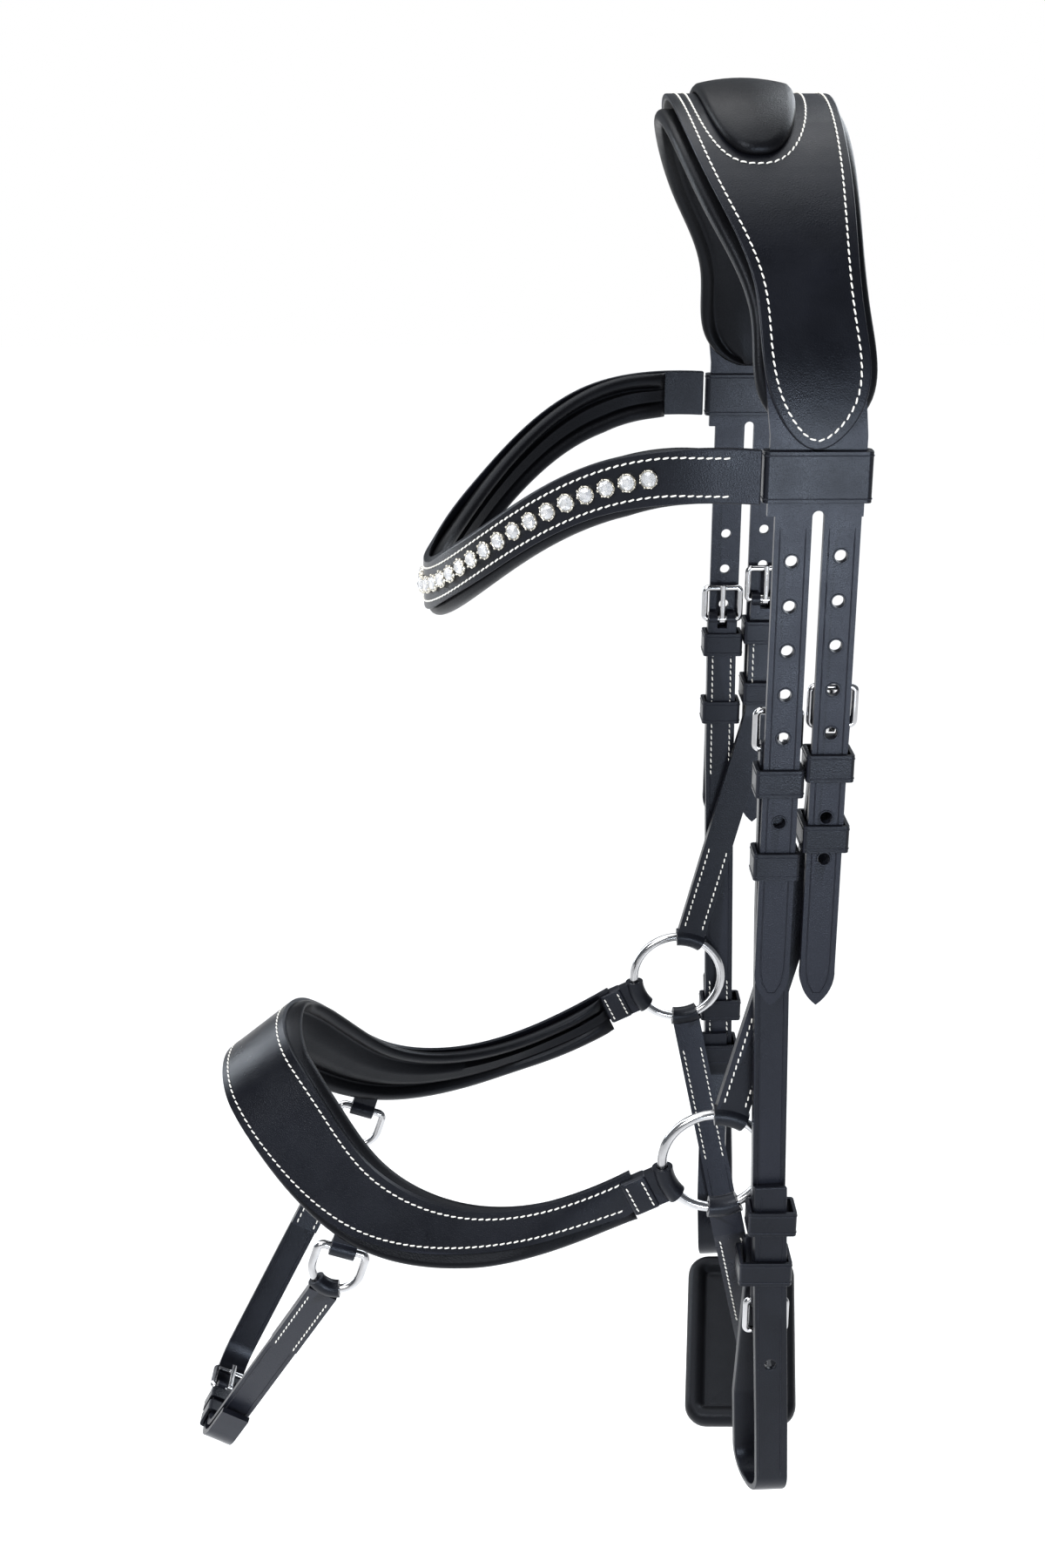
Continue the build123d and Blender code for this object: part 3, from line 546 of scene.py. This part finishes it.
def sew(heap, path, pitch=3.0, long=2.35, thick=0.62):
    """Row of stitches along a list of (point, normal)."""
    points = np.array([p for p, _ in path])
    normals = np.array([n for _, n in path])
    run = np.concatenate([[0], np.cumsum(np.linalg.norm(np.diff(points, axis=0), axis=1))])
    count = max(int(round(run[-1] / pitch)), 1)
    for i in range(count):
        at = (i + 0.5) * run[-1] / count
        here = np.array([np.interp(at, run, points[:, k]) for k in range(3)])
        ahead = np.array([np.interp(min(at + 0.8, run[-1]), run, points[:, k]) for k in range(3)])
        back = np.array([np.interp(max(at - 0.8, 0), run, points[:, k]) for k in range(3)])
        normal = np.array([np.interp(at, run, normals[:, k]) for k in range(3)])
        stitch(heap, here, ahead - back, normal, long, thick)


def crease(heap, path, width=0.55):
    """Fine raised line left beside a strap's edge by a creasing iron."""
    heap.add(*tube([(p + 0.02 * n, n) for p, n in path], width / 2, 6))


trees = {}


def on_surface(node, starts, direction):
    """Where straight lines from the given points first meet a CAD piece, each with the surface's normal."""
    if node not in trees:
        mesh = nodes[node].data
        faces = [p.vertices for p in mesh.polygons]
        trees[node] = BVHTree.FromPolygons([v.co for v in mesh.vertices], faces)
    found = []
    way = Vector(direction).normalized()
    for start in starts:
        at, normal, _, _ = trees[node].ray_cast(Vector(start) * MM, way)
        if at:
            if normal.dot(way) > 0:
                normal = -normal
            found.append((np.array(at) / MM, np.array(normal)))
    return found


def beside(line, distance):
    """Side-view line (x, z) moved sideways, with enough points to follow a curved strap."""
    return offset(resample(line, max(int(length(line) / 2.0), 6)), distance)


def sleeve_creases(heap, node, inset=1.5, corner=1.5):
    """Creases round an upright leather sleeve, near its upper and its lower edge."""
    (x0, y0, z0), (x1, y1, z1) = (np.array(c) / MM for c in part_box(node))
    for z in (z0 + inset, z1 - inset):
        path = []
        for cx, cy, start in ((x1, y1, 0), (x0, y1, 90), (x0, y0, 180), (x1, y0, 270)):
            mx, my = (cx - corner if cx == x1 else cx + corner), (cy - corner if cy == y1 else cy + corner)
            for a in np.linspace(start, start + 90, 6):
                out = np.array([cos(radians(a)), sin(radians(a)), 0.0])
                path.append((np.array([mx, my, z]) + corner * out, out))
        path.append(path[0])
        heap.add(*tube(path, 0.24, 6, taper=False))


def padded_band(name, bottom, top, surface, profile, material, body, replaces, ends=14.0):
    """Stuffed strap between two edge lines given as (s, z). profile is a closed loop of (from, distance,
    depth): distance in mm from the bottom edge ("b") or the top edge ("t"), or a share of the width ("f"),
    and depth behind the outer face. The stuffing thins out over the last stretch at both ends."""
    count = len(bottom)
    verts = []
    low = [surface(s, z, 0.0)[0] for s, z in bottom]
    high = [surface(s, z, 0.0)[0] for s, z in top]
    run = np.concatenate([[0], np.cumsum(np.linalg.norm(np.diff(np.array(low), axis=0), axis=1))])
    deep_max = max(d for _, _, d in profile)
    deep_min = min(d for _, _, d in profile)
    for i in range(count):
        wide = float(np.linalg.norm(high[i] - low[i]))
        edge = min(run[i], run[-1] - run[i])
        swell = sqrt(max(1 - (1 - min(edge / ends, 1.0)) ** 2, 0.0))
        for origin, distance, depth in profile:
            f = {"b": distance / wide, "t": 1 - distance / wide, "f": distance}[origin]
            s = bottom[i][0] + (top[i][0] - bottom[i][0]) * f
            z = bottom[i][1] + (top[i][1] - bottom[i][1]) * f
            flat = deep_min + 0.2 * (deep_max - deep_min)
            verts.append(surface(s, z, flat + (depth - flat) * (0.12 + 0.88 * swell))[0])
    cols = len(profile)
    faces = grid_faces(count, cols, True)
    faces.append(tuple(range(cols)))
    faces.append(tuple(range((count - 1) * cols, count * cols)))
    ob = make(name, verts, faces, material, body, 80.0, replaces)
    return ob


def roll_profile(outer, inner, channel, crown, proud=0.0):
    """Cross-section of a padded strap: rolled edges, a sewn channel beside each, a crowned middle.
    Depths run from outer (at the leather face) to inner (against the horse); channel and crown are shares
    of the way, and proud is how far the lower roll swells out past the leather."""
    thick = inner - outer
    loop = []
    for origin in ("b", "t"):
        face = outer - (proud if origin == "b" else 0.0)
        deep = inner
        half = (deep - face) / 2
        mid = (deep + face) / 2
        arc = []
        for a in np.linspace(-100, 100, 11):
            arc.append((origin, half * 0.92 - cos(radians(a)) * half * 0.92, mid + sin(radians(a)) * half))
        sewn = outer + thick * channel
        side = [(origin, half * 1.5, deep - 0.5), (origin, half * 2.0, sewn + 0.6),
                (origin, half * 2.0 + 1.0, sewn), (origin, half * 2.0 + 1.9, sewn + 0.5)]
        loop.append((arc, side))
    (arc_b, side_b), (arc_t, side_t) = loop
    middle = [("f", f, outer + thick * (crown - (crown - channel) * 0.55 * (2 * f - 1) ** 4))
              for f in (0.38, 0.44, 0.5, 0.56, 0.62)]
    back = [("f", f, outer) for f in (0.7, 0.5, 0.3)]
    return arc_b + side_b + middle + side_t[::-1] + arc_t[::-1] + back


# ---------------------------------------------------------------- headpiece

def cover_outline(size, front, tip, rear):
    """Left half of a headpiece layer laid flat, as (x, run from the poll): from its front at the poll, round
    the tip, to its rear at the poll."""
    table = arch_table(size)
    run_of, _, zs = table
    curve = spline(front + tip + rear, 400)
    keep = curve[curve[:, 1] < size[1] - 0.02]
    runs = np.interp(-keep[:, 1], -zs, run_of)
    flat = np.stack([keep[:, 0], runs], 1)
    first = np.array([[np.interp(size[1], curve[:40, 1][::-1], curve[:40, 0][::-1]), 0.0]])
    last = np.array([[np.interp(size[1], curve[-40:, 1], curve[-40:, 0]), 0.0]])
    return table, resample(np.concatenate([first, flat, last]), 300)


OVERLAY_LINE = (((-34, 14), (-23, -17), (-8.5, -50), (-1, -90)), ((14, -104.6),),
                ((28.5, -92), (29, -60), (27, -20), (27.5, 14)))
LINING_LINE = (((-39, 14), (-23, -27), (-9, -60), (-4.5, -90)), ((14, -101.5),),
               ((31.5, -92), (32.5, -60), (30.5, -20), (31, 14)))


def headpiece():
    rounded("headpiece_overlay", 0.9, BLACK)
    rounded("crown_strap", 0.6, BLACK)
    heap = Heap()
    table, outline = cover_outline(OVERLAY_OUT, *OVERLAY_LINE)
    inner = offset(outline, -3.4)
    inner = inner[inner[:, 1] > 0]
    half = [(x, -run) for x, run in inner]
    other = [(x, run) for x, run in inner]
    for part in (half, other):
        sew(heap, [arch_point(table, x, run) for x, run in part])
    around = [arch_point(table, x, run) for x, run in cushion_outline(21.3, 68.0, 160)]
    sew(heap, around + around[:1])
    heap.piece("headpiece_stitches", THREAD, "headpiece", "bridle_leather")
    lining()
    cushion()
    billet_lines()


def lining():
    table, outline = cover_outline(CROWN_IN, *LINING_LINE)
    tip = int(np.argmax(outline[:, 1]))
    front = resample(outline[:tip + 1], 70)
    rear = resample(outline[tip:][::-1], 70)
    front, rear = front[:-1], rear[:-1]
    low = [(x, -run) for x, run in front[::-1]] + [(x, run) for x, run in front[1:]]
    high = [(x, -run) for x, run in rear[::-1]] + [(x, run) for x, run in rear[1:]]

    def surface(x, run, depth):
        at, out = arch_point(table, x, run)
        return at - depth * out, out

    profile = roll_profile(0.0, 5.4, 0.35, 0.75)
    padded_band("headpiece_lining_pad", low, high, surface, profile, PADDED, "headpiece",
                ("headpiece_lining",), 20.0)


def billet_lines():
    """Creases beside the edges of each billet and the raised rims of its holes."""
    heap = Heap()
    y = CROWN_OUT[0]
    for _, sign in SIDES:
        out = np.array([0.0, float(sign), 0.0])
        for x in (FRONT_X, REAR_X):
            inset = BILLET_W / 2 - 2.0
            line = [(x - inset, SLIT_TOP_Z - 6), (x - inset, TIP_Z + 15), (x - inset * 0.72, TIP_Z + 7.6),
                    (x, TIP_Z + 3.2), (x + inset * 0.72, TIP_Z + 7.6), (x + inset, TIP_Z + 15),
                    (x + inset, SLIT_TOP_Z - 6)]
            path = [(np.array([px, sign * y, pz]), out) for px, pz in resample(line, 80)]
            crease(heap, path, 0.5)
        for x, first_z, count in HOLE_ROWS:
            for i in range(count):
                rim = []
                for a in np.linspace(0, 2 * pi, 25):
                    spot = np.array([x + 2.55 * cos(a), sign * y, first_z - i * HOLE_PITCH + 2.55 * sin(a)])
                    rim.append((spot, out))
                heap.add(*tube(rim, 0.36, 6, taper=False))
    heap.piece("billet_creases", BLACK, "headpiece", "bridle_leather")


def patch(name, outline, middle, rings, to_space, material, body, replaces):
    """Closed cushion over a flat outline. Its rings are ("mm", inset from the edge, height) and then
    ("share", share of the way to the middle line, height); each outline point has its middle point."""
    count = len(outline)
    verts = []
    for kind, amount, height in rings:
        if kind == "mm":
            ring = offset(np.concatenate([outline[-3:], outline, outline[:3]]), amount)[3:-3]
        else:
            base = offset(np.concatenate([outline[-3:], outline, outline[:3]]), rings_inset(rings))[3:-3]
            ring = base + (np.array(middle) - base) * amount
        for u, v in ring:
            verts.append(to_space(u, v, height))
    faces = grid_faces(len(rings), count, True)
    faces.append(tuple(range(count)))
    if rings[-1][1] < 1.0:
        faces.append(tuple(range((len(rings) - 1) * count, len(rings) * count)))
    ob = make(name, verts, faces, material, body, 80.0, replaces)
    return ob


def rings_inset(rings):
    return [amount for kind, amount, _ in rings if kind == "mm"][-1]


def cushion_outline(half_x, half_run, count):
    """Squarish oval round the middle of the poll."""
    turn = np.linspace(0, 2 * pi, count, endpoint=False)
    x = np.sign(np.cos(turn)) * np.abs(np.cos(turn)) ** 0.78
    run = np.sign(np.sin(turn)) * np.abs(np.sin(turn)) ** 0.78
    return np.stack([-5 + half_x * x, half_run * run], 1)


def cushion():
    """Poll cushion: an oval pad crowned over the overlay."""
    table = arch_table(OVERLAY_OUT)
    outline = cushion_outline(17.5, 64.0, 144)
    middle = np.stack([np.full(144, -5.0), outline[:, 1] * 0.72], 1)
    high = CUSHION_OUT[1] - OVERLAY_OUT[1]
    rings = [("mm", 0.6, 0.05), ("mm", -0.1, 0.8), ("mm", 0.0, 1.7), ("mm", 0.5, 2.7), ("mm", 1.5, 3.6)]
    for f in (0.12, 0.25, 0.4, 0.6, 0.8, 1.0):
        rings.append(("share", f, 3.6 + (high - 3.6) * (1 - (1 - f) ** 2)))

    def to_space(x, run, height):
        return arch_point(table, x, run, height)[0]

    patch("poll_cushion_pad", outline, middle, rings, to_space, PADDED, "headpiece",
          ("poll_cushion",))


# ---------------------------------------------------------------- browband

def browband():
    rounded("browband_outer", 0.7, BLACK)
    for side, _ in SIDES:
        rounded(f"browband_loop_{side}", 0.7, BLACK)
    heap = Heap()
    reach = 165.0
    for up in (6.6, -6.6):
        sew(heap, [brow_surface(s, up, 0.0) for s in np.linspace(-reach, reach, 240)])
    heap.piece("browband_stitches", THREAD, "browband", "bridle_leather")
    heap = Heap()
    for side, _ in SIDES:
        sleeve_creases(heap, f"browband_loop_{side}")
    heap.piece("browband_loop_creases", BLACK, "browband", "bridle_leather")
    stations = np.linspace(-158, 158, 150)
    low = [(s, -BROW_HALF - 0.2 - 2.8 * min((158 - abs(s)) / 30, 1.0)) for s in stations]
    high = [(s, BROW_HALF - 0.3) for s in stations]
    profile = roll_profile(BROW_T, BROW_T + BROW_PAD_T, 0.3, 0.8, proud=0.5)
    padded_band("browband_lining_pad", low, high, brow_surface, profile, PADDED, "browband",
                ("browband_lining",))
    crystals()


def lathe(seat, profile, sides):
    """Closed solid of revolution about a seat's normal, from (radius, height) pairs."""
    origin, normal, across, up = seat
    verts = []
    for radius, height in profile:
        for k in range(sides):
            a = 2 * pi * k / sides
            verts.append(origin + normal * height + radius * (cos(a) * across + sin(a) * up))
    faces = grid_faces(len(profile), sides, True)
    faces.append(tuple(range(sides)))
    faces.append(tuple(range((len(profile) - 1) * sides, len(profile) * sides)))
    return verts, faces


CUP_PROFILE = ((3.3, 0.0), (3.4, 0.6), (3.3, 1.2), (3.05, 1.45), (2.75, 1.3), (2.7, 0.9))
PRONG_PROFILE = ((0.45, 0.9), (0.5, 1.4), (0.4, 1.8), (0.15, 1.98))


def crystals():
    """Row of cut stones, each in a cup with eight prongs."""
    cups, stones = Heap(), Heap()
    for i in range(-CRYSTALS_EACH_SIDE, CRYSTALS_EACH_SIDE + 1):
        origin, out = brow_surface(i * CRYSTAL_PITCH, 0.0, 0.0)
        across = unit(np.cross(np.array([0.0, 0.0, 1.0]), out))
        seat = (origin, out, across, np.array([0.0, 0.0, 1.0]))
        cups.add(*lathe(seat, CUP_PROFILE, 24))
        for k in range(8):
            a = 2 * pi * (k + 0.5) / 8
            spot = origin + 3.05 * (cos(a) * across + sin(a) * seat[3])
            bead = (spot, out, across, seat[3])
            cups.add(*lathe(bead, PRONG_PROFILE, 8))
        turn = pi / 8 * (i % 2)
        rings = ((2.72, 0.95, 16, 0.0), (2.75, 1.35, 16, 0.0), (2.1, 2.25, 8, pi / 8), (1.35, 2.85, 8, 0.0))
        verts = []
        for radius, height, sides, spin in rings:
            for k in range(sides):
                a = 2 * pi * k / sides + spin + turn
                verts.append(origin + out * height + radius * (cos(a) * across + sin(a) * seat[3]))
        faces = [(k, (k + 1) % 16, 16 + (k + 1) % 16, 16 + k) for k in range(16)]
        for k in range(8):
            a, b, c = 16 + 2 * k, 16 + (2 * k + 1) % 16, 16 + (2 * k + 2) % 16
            mid, next_mid = 32 + k, 32 + (k + 1) % 8
            faces += [(a, b, mid), (b, c, mid), (c, next_mid, mid)]
            faces += [(mid, next_mid, 40 + (k + 1) % 8), (mid, 40 + (k + 1) % 8, 40 + k)]
        faces += [tuple(range(16)), tuple(range(40, 48))]
        stones.add(verts, faces)
    cup = cups.piece("crystal_cup_row", SILVER, "browband", "silver_cups")
    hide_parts("crystal_cups")
    stone = stones.piece("crystal_row", CRYSTAL, "browband", "crystal", smooth=0)
    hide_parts("crystals")


# ---------------------------------------------------------------- noseband

def pair(bottom, top, count):
    """Edge lines of the noseband's whole length, sampled so that each pair lies straight across it."""
    out = []
    for edge in (bottom, top):
        points = np.array([band_surface(s, z, 0.0)[0] for s, z in edge])
        run = np.concatenate([[0], np.cumsum(np.linalg.norm(np.diff(points, axis=0), axis=1))])
        at = np.linspace(0, run[-1], count)
        half = np.stack([np.interp(at, run, edge[:, 0]), np.interp(at, run, edge[:, 1])], 1)
        left = [(-s, z) for s, z in half[::-1]]
        out.append(left + [(s, z) for s, z in half[1:]])
    return out


def noseband():
    rounded("noseband_outer", 0.8, BLACK)
    heap = Heap()
    bottom, top = (band_edge(view, -33.0) for view in (BAND_BOTTOM, BAND_TOP))
    low, high = pair(bottom, top, 130)
    for near, far in ((low, high), (high, low)):
        path = []
        for (s, z), (s2, z2) in zip(near, far):
            here, _ = band_surface(s, z, 0.0)
            there, _ = band_surface(s2, z2, 0.0)
            f = 3.3 / np.linalg.norm(there - here)
            path.append(band_surface(s + (s2 - s) * f, z + (z2 - z) * f, 0.0))
        sew(heap, [(p, n) for p, n in path if p[0] < -44.5])
    heap.piece("noseband_stitches", THREAD, "noseband", "bridle_leather")
    view_low = [(x + BAND_T, z - 7.0) for x, z in BAND_BOTTOM]
    view_top = [(x + BAND_T, z - 0.5) for x, z in BAND_TOP]
    bottom, top = (band_edge(view, -46.0) for view in (view_low, view_top))
    low, high = pair(bottom, top, 90)
    for edge, drop in ((low, 6.0), (high, 0.0)):
        for i in range(len(edge)):
            short = max(1 - min(i, len(edge) - 1 - i) / 14, 0.0)
            edge[i] = (edge[i][0], edge[i][1] + drop * short * short)
    profile = roll_profile(BAND_T, BAND_T + BAND_PAD_T, 0.3, 0.85, proud=1.2)
    padded_band("noseband_lining_pad", low, high, band_surface, profile, PADDED, "noseband",
                ("noseband_lining",), 30.0)
    for side, sign in SIDES:
        rounded(f"noseband_end_loop_{side}", 0.6, BLACK)
        rounded(f"chin_ring_tab_{side}", 0.6, BLACK)
        end_wrap(side, sign)


def end_wrap(side, sign):
    """Turn of leather sewn over the joint between the noseband and its ring loop."""
    away = np.array([cos(radians(BAND_ANGLE)), 0.0, sin(radians(BAND_ANGLE))])
    wide = np.array([-away[2], 0.0, away[0]])
    out = np.array([0.0, float(sign), 0.0])
    centre = np.array([RING[0], 0.0, RING[2]])
    verts = []
    radius, half_w, near, far = 1.3, 7.9, 82.7, 89.1
    lengths = ((27.6, 0.8), (27.8, 0.44), (28.3, 0.08), (29.0, 0.0),
               (37.0, 0.0), (37.7, 0.08), (38.2, 0.44), (38.4, 0.8))
    for run, shrink in lengths:
        round_r = radius - shrink
        for sx, sy, start in ((1, 1, 0), (-1, 1, 90), (-1, -1, 180), (1, -1, 270)):
            for a in np.linspace(start, start + 90, 5):
                w = sx * (half_w - radius) + round_r * cos(radians(a))
                d = (near + far) / 2 + sy * ((far - near) / 2 - radius) + round_r * sin(radians(a))
                verts.append(centre + away * run + wide * w + out * d)
    count = 20
    faces = grid_faces(len(lengths), count, True)
    faces += [tuple(range(count)), tuple(range((len(lengths) - 1) * count, len(lengths) * count))]
    make(f"noseband_end_wrap_{side}", verts, faces, BLACK, "noseband", 50.0)
    rows = Heap()
    for face, depth in ((1, far), (-1, near)):
        for run in (29.6, 36.4):
            row = [(centre + away * run + wide * w + out * depth, out * face)
                   for w in np.linspace(-6.2, 6.2, 14)]
            sew(rows, row, 2.7, 2.0, 0.55)
    rows.piece(f"noseband_end_stitches_{side}", THREAD, "noseband", "bridle_leather")


# ---------------------------------------------------------------- cheeks, jaw and chin

def straps():
    for side, sign in SIDES:
        for node in ("cheekpiece", "nose_cheek_strap", "bit_strap"):
            rounded(f"{node}_{side}", 0.6, BLACK)
        for kind in ("cheek", "nose", "bit"):
            for part in ("fixed", "sliding"):
                node = f"{kind}_{part}_keeper_{side}"
                rounded(node, 0.5, BLACK)
                heap = Heap()
                sleeve_creases(heap, node)
                heap.piece(f"{node}_creases", BLACK, nodes[node]["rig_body"], "bridle_leather")
        cheek_sewing(side, sign)
        nose_sewing(side, sign)
    rounded("jaw_strap", 0.6, BLACK)
    for node in ("chin_buckle_strap", "chin_billet", "chin_fixed_keeper", "chin_sliding_keeper"):
        rounded(node, 0.5, BLACK)
    sling_sewing()


def cheek_sewing(side, sign):
    """Creases down a cheekpiece and its bit strap, and the rows that close the fold at each buckle."""
    lines, rows = Heap(), Heap()
    cheek, bit = f"cheekpiece_{side}", f"bit_strap_{side}"
    middle = ((6.4, -226.0), (7.3, -281.0), (12.1, -440.0))
    for shift in (-4.6, 4.6):
        for face in (1, -1):
            far = [(x, sign * (CHEEK_MID + face * 40), z) for x, z in beside(middle, shift)]
            crease(lines, on_surface(cheek, far, (0, -sign * face, 0)), 0.5)
    loop = ((12.2, -400.0), (12.4, -440.0), (16.2, -534.0))
    for shift in (-4.6, 4.6):
        far = [(x, sign * 140, z) for x, z in beside(loop, shift)]
        crease(lines, on_surface(bit, far, (0, -sign, 0)), 0.5)
    for shift in (-4.2, 4.2):
        for start, end in (((6.5, -230.0), (7.5, -290.0)), ((10.5, -396.0), (12.1, -441.0))):
            far = [(x, 0, z) for x, z in beside((start, end), shift)]
            sew(rows, on_surface(cheek, far, (0, sign, 0)), 2.9, 2.1, 0.55)
    lines.piece(f"cheek_creases_{side}", BLACK, f"cheek_{side}", "bridle_leather")
    rows.piece(f"cheek_stitches_{side}", THREAD, f"cheek_{side}", "bridle_leather")


def nose_sewing(side, sign):
    """Rows along both doubled ends of the strap that the noseband hangs from, on both its faces."""
    rows = Heap()
    node = f"nose_cheek_strap_{side}"
    toward = np.array([cos(radians(NOSE_ANGLE)), sin(radians(NOSE_ANGLE))])
    foot = np.array([RING[0], RING[2]]) + toward * (RING_R + 6.0)
    for start, end in ((foot, foot + toward * 42), ((25.3, -216.0), (24.6, -250.0))):
        for shift in (-4.3, 4.3):
            for face in (1, -1):
                far = [(x, sign * (RING[1] + face * 40), z) for x, z in beside((start, end), shift)]
                sew(rows, on_surface(node, far, (0, -sign * face, 0)), 2.9, 2.1, 0.55)
    rows.piece(f"nose_strap_stitches_{side}", THREAD, "nose_hanger", "bridle_leather")


def sling_frame(x, z, tilt):
    """Plane in which a chin or jaw strap hangs: its origin, across the strap, and up."""
    across = np.array([cos(radians(tilt)), 0.0, sin(radians(tilt))])
    return np.array([x, 0.0, z]), across, np.cross(across, np.array([0.0, 1.0, 0.0]))


def sling_rows(heap, node, frame_at, start, end, shifts, seam):
    """Rows on both faces of a strap that runs from start to end (left-right, up) in its plane."""
    origin, across, up = frame_at
    run = np.array(end) - np.array(start)
    side_way = np.array([-run[1], run[0]]) / np.linalg.norm(run)
    sideways = np.array([0.0, 1.0, 0.0])
    normal = sideways * side_way[0] + up * side_way[1]
    for shift in shifts:
        for face in (1, -1):
            starts = []
            for f in np.linspace(0, 1, 24):
                v, h = np.array(start) + run * f
                starts.append(origin + sideways * v + up * h + across * shift + normal * face * 8)
            seam(heap, on_surface(node, starts, tuple(-normal * face)))


def fine_sew(heap, path):
    sew(heap, path, 2.9, 2.1, 0.55)


def fine_crease(heap, path):
    crease(heap, path, 0.5)


def sling_sewing():
    """Stitches and creases of the straps under the jaw and the chin."""
    rows, lines = Heap(), Heap()
    jaw = sling_frame(RING[0], RING[2], JAW_TILT)
    for first, corner in ((JAW_PATH[0], JAW_PATH[1]), (JAW_PATH[3], JAW_PATH[2])):
        first, corner = np.array(first), np.array(corner)
        way = (corner - first) / np.linalg.norm(corner - first)
        sling_rows(rows, "jaw_strap", jaw, first + way * 4, first + way * 62, (-4.3, 4.3), fine_sew)
        sling_rows(lines, "jaw_strap", jaw, first + way * 66, corner - way * 14, (-4.6, 4.6), fine_crease)
    rows.piece("jaw_strap_stitches", THREAD, "jaw", "bridle_leather")
    lines.piece("jaw_strap_creases", BLACK, "jaw", "bridle_leather")
    rows, lines = Heap(), Heap()
    chin = sling_frame(D_RING[0], D_RING[2], CHIN_TILT)
    halves = (("chin_buckle_strap", -1, -20.0), ("chin_billet", 1, 32.0 + CHIN_LAP * 0.73))
    for node, sign, corner_at in halves:
        start = np.array([sign * D_RING[1], -D_R - 2.2])
        corner = np.array([corner_at, -CHIN_DEPTH - (CHIN_LAP if sign > 0 else 0.0)])
        way = (corner - start) / np.linalg.norm(corner - start)
        sling_rows(rows, node, chin, start + way * 5, start + way * 44, (-4.3, 4.3), fine_sew)
        sling_rows(lines, node, chin, start + way * 48, corner - way * 16, (-4.7, 4.7), fine_crease)
    rows.piece("chin_stitches", THREAD, "chin", "bridle_leather")
    lines.piece("chin_creases", BLACK, "chin", "bridle_leather")


def jaw_pad():
    """Padded rest: a rolled rim round a dished middle."""
    hang, across, rise = sling_frame(RING[0], RING[2], JAW_TILT)
    sideways = np.array([0.0, 1.0, 0.0])
    low, high = np.array(JAW_PATH[1]), np.array(JAW_PATH[2])
    middle = (low + high) / 2
    slope = unit(sideways * (high - low)[0] + rise * (high - low)[1])
    up = np.cross(across, slope)
    origin = hang + sideways * middle[0] + rise * middle[1] - across * PAD_FORWARD + up * STRAP_T / 2
    turn = radians(PAD_TURN)
    forward = np.cross(up, slope)
    u_dir = cos(turn) * slope + sin(turn) * forward
    v_dir = np.cross(up, u_dir)
    outline = []
    corner = 10.0
    for cx, cy, start in ((1, 1, 0), (-1, 1, 90), (-1, -1, 180), (1, -1, 270)):
        for a in np.linspace(start, start + 90, 10):
            outline.append((cx * (PAD_L / 2 - corner) + corner * cos(radians(a)),
                            cy * (PAD_W / 2 - corner) + corner * sin(radians(a))))
    outline = resample(outline + outline[:1], 121)[:-1]
    centre = np.clip(outline, (-PAD_L / 2 + 22, -2), (PAD_L / 2 - 22, 2))
    rings = [("mm", 1.6, 0.05), ("mm", 0.5, 1.2), ("mm", 0.0, 3.6), ("mm", 0.5, 6.0), ("mm", 2.2, 8.2),
             ("mm", 4.4, 8.9), ("mm", 6.6, 8.0), ("mm", 8.2, 6.2), ("mm", 9.3, 4.6), ("mm", 10.2, 4.9)]
    rings += [("share", f, 4.9 + 0.8 * sin(pi * f / 2)) for f in (0.3, 0.6, 0.95)]

    def to_space(u, v, height):
        return origin + u * u_dir + v * v_dir + height * up

    patch("jaw_rest_pad", outline, centre, rings, to_space, PADDED, "jaw",
          ("jaw_pad",))


def hardware():
    """Steel for the buckles and rings, whose CAD shapes are shown as they are."""
    for node, ob in nodes.items():
        if "frame" in node or "tongue" in node or "ring" in node and "tab" not in node:
            ob.data.materials.clear()
            ob.data.materials.append(STEEL)
            ob.data.shade_smooth()


look()
stage()
headpiece()
browband()
noseband()
straps()
jaw_pad()
hardware()
